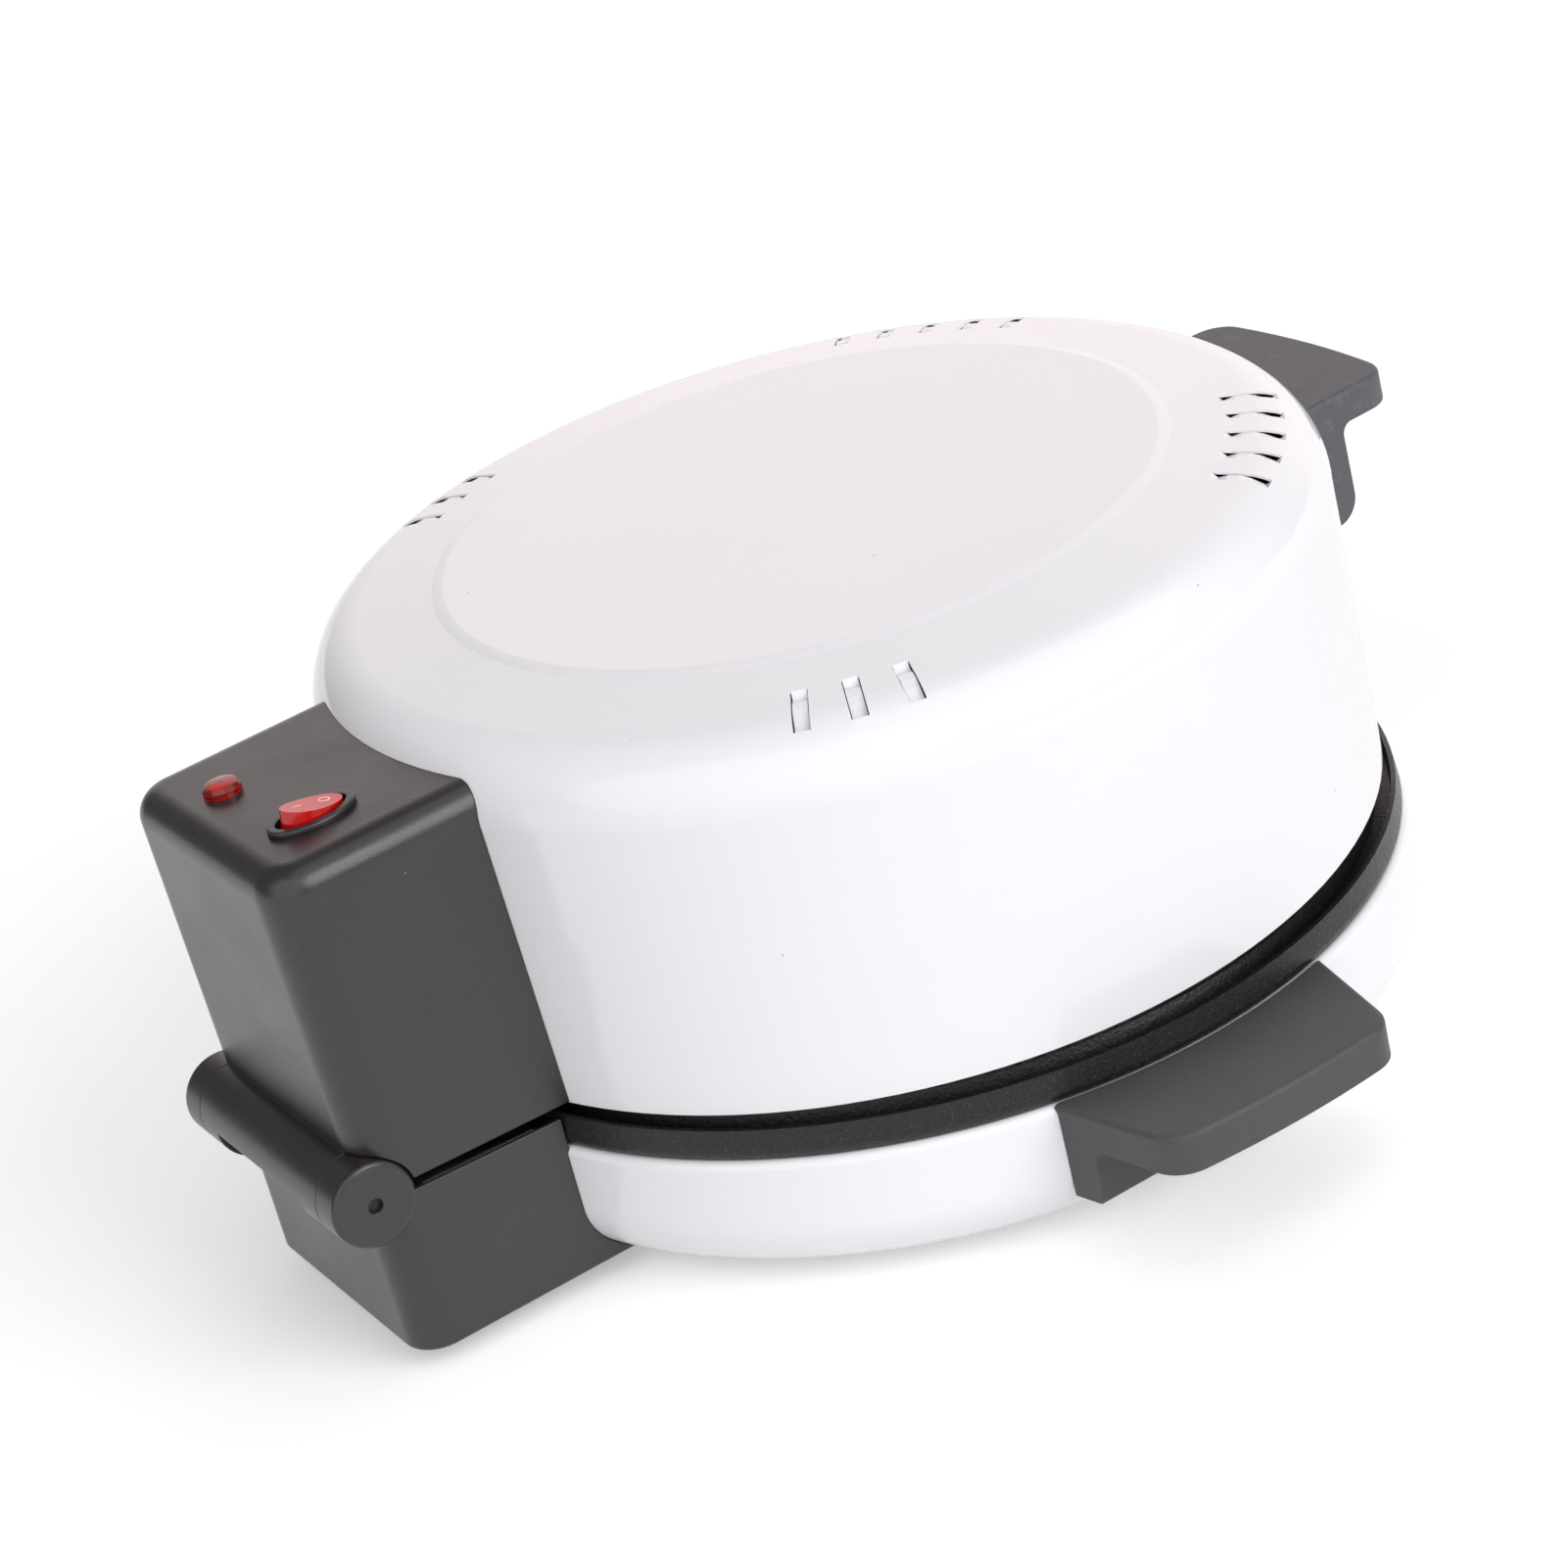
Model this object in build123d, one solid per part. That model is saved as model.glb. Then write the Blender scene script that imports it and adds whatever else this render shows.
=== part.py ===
from build123d import *
import os
from math import asin, atan2, cos, pi, radians, sin, sqrt, tan

# An electric pizza maker. The frame is +Z up, with the table at z = 0.
# The lid hinges at the back (+Y), its handle is at the front (-Y) and the side handles are at -X and +X.
# Everything is drawn about the pan's axis, then moved so that the origin is under the middle of the whole.

# Overall sizes
lid_rim_radius = 165.0
rim_height = 63.0              # lid's lower edge above the table, lid shut
lid_wall_height = 98.0         # from the lid's lower edge to the start of its shoulder
foot_height = 6.0
sheet = 0.8                    # wall of the lid, base, liner and reflector
lid_rest_tilt = 1.0            # degrees that the lid stands open at rest

# Clearances
seat_gap = 0.2                 # plastic parts stand this far off the enamel
hole_gap = 0.3                 # radial clearance of a screw in sheet
thread_gap = 0.05              # radial clearance of a screw in its own thread
touch_gap = 0.1                # between stacked pieces
past = 5.0                     # cutting tools run this far past what they cut
sliding_gap = 0.05             # radial clearance of a pin or trunnion

# Lid shell
lid_flare = 0.9                # the wall widens this much towards its top
shoulder_arc = 22.0
crown_slope = 8.0
disc_inset = 49.9              # from the wall to the embossed disc
disc_step_width = 4.0
disc_step_height = 1.1
lid_shoulder_radius = lid_rim_radius + lid_flare
disc_radius = lid_shoulder_radius - disc_inset

# Lanced vents: (middle angle, count) of each group, seen from above
vent_groups = [(-131.6, 5), (-52.2, 5), (152.8, 3), (24.5, 3)]
vent_pitch = 6.28
vent_inset = 10.9              # from the wall to the vents' outer ends
vent_length = 18.5
vent_width = 5.2
strip_width = 4.6
strip_sheet = 0.6
strip_overlap = 0.5
strip_end_depth = 0.1
# (share of the slot's length, depth of the pressed strip)
strip_line = [(0.0, 0.1), (0.1, 1.8), (0.28, 0.7), (0.48, 0.5), (0.65, 1.2), (0.88, 2.2), (1.0, 0.1)]
vent_outer_radius = lid_shoulder_radius - vent_inset
vent_inner_radius = vent_outer_radius - vent_length

# Lid liner
liner_inset = 10.0             # inside the lid's lower edge
liner_draft = 4.0
liner_flange_height = 4.0      # above the lid's lower edge
liner_headroom = 8.0           # its top is this far under the lid's shoulder
liner_corner = 20.0
liner_flange_gap = 0.15
liner_wall_radius = lid_rim_radius - liner_inset
liner_top_radius = liner_wall_radius - liner_draft
liner_top = rim_height + lid_wall_height - liner_headroom

# Pan
ridge_inset = 9.0              # the ridge's crest inside the lid's lower edge
ridge_round = 3.0
ridge_above_rim = 1.0
dish_inset = 6.0               # the dish's wall inside the ridge's crest
pan_depth = 14.0               # cooking surface under the lid's lower edge
pan_floor = 3.0
gutter_offset = 4.5            # outside the ridge's crest
gutter_depth = 7.5
lip_overhang = 3.0             # outside the lid's lower edge
lip_width = 1.6
lip_drop = 2.1                 # its crest under the lid's lower edge
bulge = 0.9                    # outside the lip's crest
bulge_drop = 9.2
foot_step = 0.8                # the rim's lower edge inside the lip's crest
foot_drop = 12.8
dish_edge_height = 2.0         # the hollow where the dish's wall meets its floor
dish_edge_width = 2.5
dish_turn_height = 0.6
dish_turn_width = 0.8
pan_under_inset = 1.0          # the underside's flat ends this far inside the dish's wall
pan_under_flare = 5.0
ridge_outer = 2.4              # the ridge's outer foot outside its crest
gutter_draft = 0.8
belly_share = 0.73             # of the bulge, at the rim's rounded foot
belly_drop = 0.4
pan_boss_radius = 6.0
pan_boss_inset = 40.0
pan_boss_height = 6.0
pan_boss_angles = [-90, 30, 150]
ridge_radius = lid_rim_radius - ridge_inset
ridge_top = rim_height + ridge_above_rim
cooking_radius = ridge_radius - dish_inset
cooking_height = rim_height - pan_depth
pan_underside = cooking_height - pan_floor
gutter_radius = ridge_radius + gutter_offset
gutter_floor = rim_height - gutter_depth
lip_radius = lid_rim_radius + lip_overhang
lip_top = rim_height - lip_drop
bulge_radius = lip_radius + bulge
rim_foot_radius = lip_radius - foot_step
rim_foot_height = rim_height - foot_drop

# Base shell
base_overhang = 5.0            # outside the lid's lower edge
base_corner = 22.0
base_top_round = 2.6
base_flange_width = 8.0
base_vent_count = 12
base_vent_length = 26.0
base_vent_width = 4.0
base_vent_inset = 100.0
base_radius = lid_rim_radius + base_overhang
base_bottom = foot_height
base_vent_radius = base_radius - base_vent_inset
pan_boss_reach = base_radius - pan_boss_inset

# Heating elements
element_radius = 3.5
element_bend = 12.0
element_leg_spacing = 36.0
element_pass_radius = 5.0
upper_ring_inset = 46.0        # inside the liner's top
upper_element_drop = 32.0      # under the liner's top
lower_ring_inset = 50.0        # inside the dish
upper_leg_reach = 13.0         # the heaters' ends stand this far outside the lid's wall
lower_leg_reach = 15.0
terminal_length = 9.0
terminal_width = 6.3
terminal_sheet = 0.8
terminal_bead = 5.0
terminal_bead_radius = 3.0
clip_width = 9.0
clip_sheet = 1.0
clip_tab = 14.0
clip_angles = [-150, -30, 90]
clip_gap = 0.15
rivet_radius = 1.6
rivet_head_radius = 3.0
rivet_head = 1.0
upper_ring_radius = liner_top_radius - upper_ring_inset
upper_element_height = liner_top - upper_element_drop
lower_ring_radius = cooking_radius - lower_ring_inset
lower_element_height = pan_underside - element_radius - touch_gap
lower_element_underside = lower_element_height - element_radius
upper_leg_end = lid_rim_radius + upper_leg_reach
lower_leg_end = lid_rim_radius + lower_leg_reach
tag_x = element_leg_spacing / 2

# Handles: a bowed plate with a leg down the wall
side_handle_angle = 90.8       # from the lid's handle, so a little nearer the hinge
side_handle_width = 101.6      # at the wall
side_handle_outer_width = 82.4
side_handle_reach = 40.0       # from the wall, at the middle
side_handle_bow = 2.7
side_handle_plate = 13.0
side_leg = 4.0                 # thickness of the leg at its middle
side_leg_height = 32.0
side_leg_round = 2.0
lid_handle_width = 94.0
lid_handle_outer_width = 91.0
lid_handle_reach = 40.3
lid_handle_bow = 3.2
lid_handle_plate = 11.0
lid_handle_drop = 4.7          # its top under the start of the lid's shoulder
lid_leg = 13.5
lid_leg_height = 44.4
lid_leg_round = 9.0
handle_corner = 12.0
handle_top_edge = 2.0
handle_blend = 4.0             # between the plate and the leg
handle_screw_spacing = 56.0
handle_screw_length = 5.0
handle_screw_share = 0.55      # of the leg's height, down from the top
side_handle_rise = 1.0         # its top above the base's edge, beside the pan's rim
side_handle_top = rim_foot_height + side_handle_rise
lid_handle_top = rim_height + lid_wall_height - lid_handle_drop
handle_screw_offsets = (-handle_screw_spacing / 2, handle_screw_spacing / 2)
side_screw_height = side_handle_top - side_leg_height * handle_screw_share
lid_screw_height = lid_handle_top - lid_leg_height * handle_screw_share

# Hinge and its housings
hinge_setback = 60.0           # hinge axis behind the lid's wall
hinge_above_rim = 0.8
housing_width = 107.0
housing_wall = 2.5
housing_above_shoulder = 12.8  # top of the upper housing above the start of the lid's shoulder
upper_vertical_round = 14.0
lower_vertical_round = 12.0
housing_top_round = 9.0
slit = 3.8                     # gap between the two housings at the hinge
upper_bottom_slope = 2.7
lower_top_slope = 2.2
lower_top_drop = 0.1           # below the lid's lower edge, at the hinge
lower_bottom_rise = 0.8        # above the base's floor
lower_bottom_round = 1.5
lower_pocket = 6.0             # the lower housing's top plate lies this deep between its walls
lower_pocket_wall = 1.4
lower_lip_inset = 2.3          # of the lips that stand in the pocket, beside its side walls
lower_lip = 1.2
lower_lip_drop = 0.3
lower_lip_back = 17.0          # ends of the lips, forward of the hinge axis
lower_lip_front = 56.0
upper_depth = 85.0             # drawn this far forward of the hinge, then cut by the lid
lower_depth = 77.0             # the toe reaches this far forward of the hinge
knuckle_radius = 14.0
knuckle_inner = 41.8           # half the gap between the end knuckles
knuckle_proud = 0.2            # the end knuckles stand this far out of the housing's sides
knuckle_edge = 1.8
knuckle_gap = 0.4
knuckle_rib = 2.5              # width of the wall beside the knuckles
barrel_end_gap = 0.4
barrel_wall = 3.0
barrel_ring = 11.4             # the barrel is round for this length at each end; between, its lower half is open
barrel_end_wall = 6.0
hinge_pin_radius = 2.5
hinge_pin_grip = 0.02          # radial clearance where the pin is held
hinge_pin_recess = 1.4
boss_radius = 5.0
boss_inset = 6.5               # boss axis from the housing's side
boss_length = 20.5
boss_lead = 6.0                # each boss starts this far inside the wall, then is cut by it
hinge_reach = lid_rim_radius + hinge_setback
hinge_height = rim_height + hinge_above_rim
housing_top = rim_height + lid_wall_height + housing_above_shoulder
knuckle_outer = housing_width / 2 + knuckle_proud
boss_x = housing_width / 2 - boss_inset

# Screws
screw_radius = 1.9
screw_head_radius = 3.8
screw_head = 2.2
screw_side = 0.8
cross_length = 4.2             # recess in a screw's head
cross_width = 0.8
cross_depth = 0.6
screw_length = 12.0
pilot_depth = 12.0
screw_cover = 1.2              # metal left over a screw's hole in the pan
screw_tip_gap = 0.8            # between the screw's tip and the end of that hole

# Lamp and switch, on top of the upper housing
lamp_x = 18.4
lamp_setback = 20.3            # forward of the hinge axis
lens_radius = 6.1
lens_wall = 1.9
lens_bevel_width = 0.9
lens_bevel_height = 1.1
lens_dome = 0.6
lens_stem = 4.8
lens_stem_wall = 1.2
lens_stem_length = 9.0
lamp_nut_radius = 7.5
lamp_nut = 3.0
bulb_length = 14.0
bulb_drop = 1.0
lead_radius = 0.5
lead_length = 18.0
lead_x = 1.6
switch_x = -24.7
switch_setback = 29.7          # forward of the hinge axis
bezel_length = 28.9
bezel_width = 18.2
bezel_height = 2.0
bezel_edge = 0.8
opening_length = 23.6
opening_width = 12.8
switch_body_length = 27.0
switch_body_width = 15.4
switch_body_depth = 18.0
switch_pocket_depth = 12.0
switch_tag_spacing = 8.5
rocker_length = 19.8
rocker_width = 11.6
rocker_top = 4.6               # above the pivot
rocker_bottom = 3.5
rocker_dish = 0.4
rocker_tilt = 12.0
pivot_depth = 0.0              # below the top of the housing
trunnion_radius = 1.2
trunnion_length = 0.9
lamp_y = hinge_reach - lamp_setback
switch_y = hinge_reach - switch_setback
pivot_height = housing_top - pivot_depth

# Inlet on the right side of the lower housing
inlet_setback = 32.0           # forward of the hinge axis
inlet_rise = 28.0              # above the base's floor
inlet_flange_length = 31.0
inlet_flange_height = 24.0
inlet_flange = 2.6
inlet_flange_corner = 3.0
inlet_body_length = 27.0
inlet_body_height = 19.6
inlet_depth = 21.0
inlet_socket_length = 24.2
inlet_socket_height = 16.4
inlet_socket_depth = 17.0
inlet_socket_corner = 3.5
blade_length = 15.0
blade_height = 4.0
blade_width = 2.0
blade_spacing = 7.0
blade_tail = 8.0
outer_blade_drop = 1.5
middle_blade_rise = 2.0
inlet_y = hinge_reach - inlet_setback
inlet_height = base_bottom + inlet_rise
outer_blade_height = inlet_height - outer_blade_drop
blade_heights = [outer_blade_height, inlet_height + middle_blade_rise, outer_blade_height]

# Inside the base
reflector_rise = 14.0          # above the base's floor
reflector_inset = 38.0         # its floor's edge inside the base's wall
reflector_lip_inset = 22.0
reflector_lip_width = 4.0
reflector_wall_height = 18.0
reflector_flare = 6.0          # its wall starts this far outside its floor's edge
reflector_lean = 0.5
spacer_radius = 4.5
spacer_bore = 2.2
collar_radius = 8.0
collar = 1.5
clamp_length = 30.0
clamp_width = 12.0
clamp_sheet = 1.2
clamp_angles = [-90, 30, 150]
clamp_boss_radius = 5.0
clamp_boss_inset = 14.0        # inside the lower heater's ring
thermostat_y = 30.0
thermostat_radius = 8.0
thermostat_body = 9.0
thermostat_cap_radius = 9.0
thermostat_cap = 2.0
thermostat_tag = 7.0
thermostat_tag_x = 4.5
thermostat_hole = 14.0
bracket_width = 24.0
bracket_length = 54.0
bracket_sheet = 1.0
bracket_corner = 4.0
bracket_screw_x = 21.0
bracket_boss_radius = 4.5
reflector_height = base_bottom + reflector_rise
reflector_radius = base_radius - reflector_inset
reflector_lip_radius = base_radius - reflector_lip_inset
clamp_centre = lower_ring_radius - clamp_boss_inset
thermostat_top = pan_underside - 2 * touch_gap - thermostat_cap
thermostat_low = thermostat_top - thermostat_body - thermostat_tag
bracket_top = thermostat_top - thermostat_body / 2

# Terminal block and wires
block_length = 34.0
block_depth = 16.0
block_height = 15.0
block_setback = 25.0           # forward of the hinge axis
block_screw_radius = 1.6
block_screw_depth = 0.5        # below the block's top
block_bore_gap = 0.4
block_entry = 4.0              # length of each wire inside the block
wire_radius = 1.3
wire_bend = 3.0
wire_hole_radius = 7.0
lid_wire_hole_rise = 24.0      # above the lid's lower edge
base_wire_hole_rise = 24.0     # above the base's floor
wire_clearance = 6.0           # of the wires' turns behind and before the block
wire_step = 8.0                # between a wire's turn and what it turns for
heater_wire_inset = 12.0       # inside the base's wall
earth_wire_inset = 14.0
earth_wire_rise = 10.0         # over the block's bores
earth_lug_setback = 16.0
earth_wire_turn = 4.0
lug_radius = 4.5
lug = 0.8
block_y = hinge_reach - block_setback
block_low = base_bottom + lower_bottom_rise + housing_wall + touch_gap
block_front = block_y - block_depth / 2
block_back = block_y + block_depth / 2
block_bore_height = block_low + block_height / 2
block_pitch = block_length / 3

# Feet
foot_radius = 9.0
foot_top_radius = 10.0
foot_edge = 1.0
foot_stem_radius = 3.6
foot_barb_radius = 4.6
foot_barb = 3.0
foot_barb_tip = 2.6            # radius
foot_inset = 52.0              # inside the base's wall
foot_angles = {"front_left": -135, "front_right": -45, "back_left": 130, "back_right": 50}
foot_circle = base_radius - foot_inset

# Screw places on the back walls of the lid and the base
upper_boss_heights = [rim_height + 32.0, rim_height + lid_wall_height - 14.0]
lower_boss_heights = [base_bottom + 26.0]
lid_wire_hole = rim_height + lid_wire_hole_rise
base_wire_hole = base_bottom + base_wire_hole_rise

# The origin comes under the middle of the whole, lid at rest
tilt = radians(lid_rest_tilt)
front_reach = lid_shoulder_radius + lid_handle_reach
front_y = (hinge_reach - (hinge_reach + front_reach) * cos(tilt)
           + (lid_handle_top - lid_handle_plate - hinge_height) * sin(tilt))
pan_y = -(hinge_reach + knuckle_radius + front_y) / 2


def turned(points):
    """Ring or disc from a closed outline of (radius, height) points."""
    return revolve(Plane.XZ * make_face(Polyline(*points, close=True)), Axis.Z)


def bar(radius, start, end):
    """Round bar between two points."""
    way = Vector(*end) - Vector(*start)
    return extrude(Plane(origin=start, z_dir=way) * Circle(radius), way.length)


def block(low, high):
    """Box between two opposite corners."""
    centre = [(a + b) / 2 for a, b in zip(low, high)]
    return Pos(*centre) * Box(*(abs(b - a) for a, b in zip(low, high)))


def wire(points, radius, bend):
    """Round conductor along straight runs joined by bends."""
    path = FilletPolyline(*points, radius=bend)
    return sweep(Plane(origin=path @ 0, z_dir=path % 0) * Circle(radius), path=path)


def group(solids):
    """Separate like solids kept in one piece file."""
    return Compound(children=list(solids))


def dome(radius, rise, foot):
    """Arc from the edge of a round dome to its top on the axis."""
    ball = (radius ** 2 + rise ** 2) / (2 * rise)
    half = asin(radius / ball) / 2
    middle = (ball * sin(half), foot + rise - ball * (1 - cos(half)))
    return ThreePointArc((radius, foot), middle, (0, foot + rise))


def screw(length=screw_length):
    """Pan head screw, its seat at the origin and its shank up +Z."""
    rise = screw_head - screw_side
    outline = [Line((0, 0), (screw_head_radius, 0)),
               Line((screw_head_radius, 0), (screw_head_radius, screw_side)),
               dome(screw_head_radius, rise, screw_side), Line((0, screw_head), (0, 0))]
    head = Rot(180, 0, 0) * revolve(Plane.XZ * make_face(outline), Axis.Z)
    slot = Box(cross_length, cross_width, 2 * cross_depth)
    cross = Pos(0, 0, -screw_head) * (slot + Rot(0, 0, 90) * slot)
    return head - cross + Cylinder(screw_radius, length, align=(Align.CENTER, Align.CENTER, Align.MIN))


def aimed(place, way):
    """Location at a point whose +Z looks along a direction."""
    return Plane(origin=place, z_dir=way).location


def lid_arc_end(inset):
    """Point where the shoulder's arc meets the crown, as (radius, height)."""
    slope = radians(crown_slope)
    arc = shoulder_arc - inset
    return (lid_shoulder_radius - shoulder_arc + arc * sin(slope),
            rim_height + lid_wall_height + arc * cos(slope))


def lid_surface(radius, inset):
    """Height of the lid's crown or shoulder at a radius, moved inwards by inset."""
    end_radius, end_height = lid_arc_end(inset)
    if radius < end_radius:
        return end_height + (end_radius - radius) * tan(radians(crown_slope))
    run = radius - (lid_shoulder_radius - shoulder_arc)
    return rim_height + lid_wall_height + sqrt((shoulder_arc - inset) ** 2 - run ** 2)


def lid_body(inset):
    """Solid inside the lid's outer surface, moved inwards by inset."""
    centre = (lid_shoulder_radius - shoulder_arc, rim_height + lid_wall_height)
    arc = shoulder_arc - inset
    half = radians(90 - crown_slope) / 2
    middle = (centre[0] + arc * cos(half), centre[1] + arc * sin(half))
    wall_top = (lid_shoulder_radius - inset, centre[1])
    arc_end = lid_arc_end(inset)
    cone_radius = disc_radius + disc_step_width
    cone_end = (cone_radius, lid_surface(cone_radius, inset))
    disc_height = cone_end[1] + disc_step_height
    up_slope = (-cos(radians(crown_slope)), sin(radians(crown_slope)))
    step = Spline(cone_end, (disc_radius, disc_height), tangents=[up_slope, (-1, 0)])
    wall_foot = (lid_rim_radius - inset, rim_height)
    outline = [Line((0, rim_height), wall_foot), Line(wall_foot, wall_top),
               ThreePointArc(wall_top, middle, arc_end), Line(arc_end, cone_end),
               step, Line((disc_radius, disc_height), (0, disc_height)),
               Line((0, disc_height), (0, rim_height))]
    return revolve(Plane.XZ * make_face(outline), Axis.Z)


def base_body(inset):
    """Solid inside the base's outer surface, moved inwards by inset."""
    radius = base_radius - inset
    bottom = base_bottom + inset
    corner = base_corner - inset
    top = rim_foot_height - touch_gap
    knee = corner * (1 - sqrt(0.5))
    edge_knee = base_top_round * (1 - sqrt(0.5))
    wall_foot = (radius, bottom + corner)
    wall_top = (radius, top - inset - base_top_round)
    inner_top = (radius - base_top_round, top - inset)
    turn = (radius - edge_knee, top - inset - edge_knee)
    outline = [Line((0, bottom), (radius - corner, bottom)),
               ThreePointArc((radius - corner, bottom), (radius - knee, bottom + knee), wall_foot),
               Line(wall_foot, wall_top), ThreePointArc(wall_top, turn, inner_top),
               Line(inner_top, (0, top - inset)), Line((0, top - inset), (0, bottom))]
    return revolve(Plane.XZ * make_face(outline), Axis.Z)


def wall_y(radius, x):
    """Distance of a round wall from the pan's middle line, at a sideways place."""
    return sqrt(radius ** 2 - x ** 2)


def through_y(radius, offsets, heights, way=1):
    """Bars along Y through the back (way 1) or front (way -1) wall, for cutting holes."""
    return [bar(radius, (x, way * lid_rim_radius / 2, z), (x, way * 2 * lid_rim_radius, z))
            for x in offsets for z in heights]


def lid_shell():
    """Drawn lid with its vents lanced and pressed in, and holes for what is fixed to it."""
    shell = lid_body(0) - lid_body(sheet)
    middle = vent_inner_radius + vent_length / 2
    slot = Pos(middle, 0, rim_height + lid_wall_height + shoulder_arc) * Box(vent_length, vent_width,
                                                                             2 * shoulder_arc)
    stations = [(vent_inner_radius + share * vent_length, depth) for share, depth in strip_line]
    stations = ([(vent_inner_radius - strip_overlap, strip_end_depth)] + stations
                + [(vent_outer_radius + strip_overlap, strip_end_depth)])
    upper = [(r, lid_surface(r, depth)) for r, depth in stations]
    lower = [(r, lid_surface(r, depth + strip_sheet)) for r, depth in reversed(stations)]
    strip = extrude(Plane.XZ * make_face(Polyline(*upper, *lower, close=True)), strip_width / 2, both=True)
    angles = [centre + (i - (count - 1) / 2) * vent_pitch
              for centre, count in vent_groups for i in range(count)]
    shell -= [Rot(0, 0, a) * slot for a in angles]
    shell += [Rot(0, 0, a) * strip for a in angles]
    shell -= through_y(screw_radius + hole_gap, (-boss_x, boss_x), upper_boss_heights)
    shell -= through_y(screw_radius + hole_gap, handle_screw_offsets, [lid_screw_height], -1)
    shell -= through_y(element_pass_radius, (-tag_x, tag_x), [upper_element_height])
    return shell - through_y(wire_hole_radius, [0], [lid_wire_hole])


def liner_outline(inset):
    """Outline of the liner's hollow, moved outwards by inset."""
    foot = rim_height + liner_flange_height
    top = liner_top + inset
    corner = liner_corner + inset
    knee = corner * (1 - sqrt(0.5))
    wall_top = (liner_top_radius + inset, top - corner)
    wall_foot = (liner_wall_radius + inset, foot)
    return [Line((0, foot), wall_foot), Line(wall_foot, wall_top),
            ThreePointArc(wall_top, (wall_top[0] - knee, top - knee), (wall_top[0] - corner, top)),
            Line((wall_top[0] - corner, top), (0, top)), Line((0, top), (0, foot))]


def lid_liner():
    """Bright dome inside the lid, with a flange that closes the gap to the shell."""
    foot = rim_height + liner_flange_height
    edge = lid_rim_radius - sheet - liner_flange_gap
    flange = turned([(0, foot), (edge, foot), (edge, foot + sheet), (0, foot + sheet)])
    liner = revolve(Plane.XZ * make_face(liner_outline(sheet)), Axis.Z) + flange
    liner -= revolve(Plane.XZ * make_face(liner_outline(0)), Axis.Z)
    liner -= through_y(element_pass_radius, (-tag_x, tag_x), [upper_element_height])
    return liner - [Rot(0, 0, a) * bar(rivet_radius + touch_gap, (clip_rivet_radius, 0, liner_top - past),
                                       (clip_rivet_radius, 0, liner_top + past)) for a in clip_angles]


def element(ring_radius, height, leg_end):
    """Tubular heater: a ring open at the back, whose two ends run out to +Y."""
    side = element_leg_spacing / 2
    bend_x = side + element_bend
    bend_y = sqrt((ring_radius + element_bend) ** 2 - bend_x ** 2)
    share = ring_radius / (ring_radius + element_bend)
    join = (bend_x * share, bend_y * share)
    lean = atan2(bend_y, bend_x)
    middle = (bend_x + element_bend * cos(pi + lean / 2), bend_y - element_bend * sin(lean / 2))
    runs = [Line((side, leg_end), (side, bend_y)), ThreePointArc((side, bend_y), middle, join),
            ThreePointArc(join, (0, -ring_radius), (-join[0], join[1])),
            ThreePointArc((-join[0], join[1]), (-middle[0], middle[1]), (-side, bend_y)),
            Line((-side, bend_y), (-side, leg_end))]
    path = Pos(0, 0, height) * Wire(runs)
    start = (side, leg_end, height)
    return sweep(Plane(origin=start, z_dir=(0, -1, 0)) * Circle(element_radius), path=path)


def element_terminals(height, leg_end):
    """Flat tags on the two ends of a heater, each on a round insulator."""
    tags = []
    for x in (-tag_x, tag_x):
        root = leg_end + terminal_bead
        bead = bar(terminal_bead_radius, (x, leg_end + touch_gap, height), (x, root, height))
        tag = block((x - terminal_width / 2, root, height - terminal_sheet / 2),
                    (x + terminal_width / 2, root + terminal_length, height + terminal_sheet / 2))
        tags.append(bead + tag)
    return group(tags)


clip_tube = element_radius + clip_gap
clip_rivet_radius = upper_ring_radius + clip_tube + clip_sheet + clip_tab / 2


def element_clip():
    """Hanger strip at angle 0: a tab under the liner's top, a drop and a hook round the heater."""
    top = liner_top - touch_gap
    height = upper_element_height
    outer = clip_tube + clip_sheet
    ring = Pos(upper_ring_radius, height) * (Circle(outer) - Circle(clip_tube))
    hook = ring & Pos(upper_ring_radius, height - outer / 2) * Rectangle(3 * outer, outer)
    drop = Pos(upper_ring_radius + clip_tube, height) * Rectangle(
        clip_sheet, top - height, align=(Align.MIN, Align.MIN))
    tab = Pos(upper_ring_radius + clip_tube, top) * Rectangle(
        clip_tab + clip_sheet, clip_sheet, align=(Align.MIN, Align.MAX))
    lug = Pos(upper_ring_radius - outer, height) * Rectangle(
        clip_sheet, element_radius, align=(Align.MIN, Align.MIN))
    clip = extrude(Plane.XZ * (hook + drop + tab + lug), clip_width / 2, both=True)
    return clip - bar(rivet_radius + touch_gap, (clip_rivet_radius, 0, top - past),
                      (clip_rivet_radius, 0, top + past))


def clip_rivet():
    """Rivet through the clip's tab and the liner, at angle 0."""
    low = liner_top - touch_gap - clip_sheet - touch_gap
    high = liner_top + sheet + touch_gap
    shank = bar(rivet_radius, (clip_rivet_radius, 0, low), (clip_rivet_radius, 0, high))
    heads = [bar(rivet_head_radius, (clip_rivet_radius, 0, low - rivet_head), (clip_rivet_radius, 0, low)),
             bar(rivet_head_radius, (clip_rivet_radius, 0, high), (clip_rivet_radius, 0, high + rivet_head))]
    return shank + heads


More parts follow.
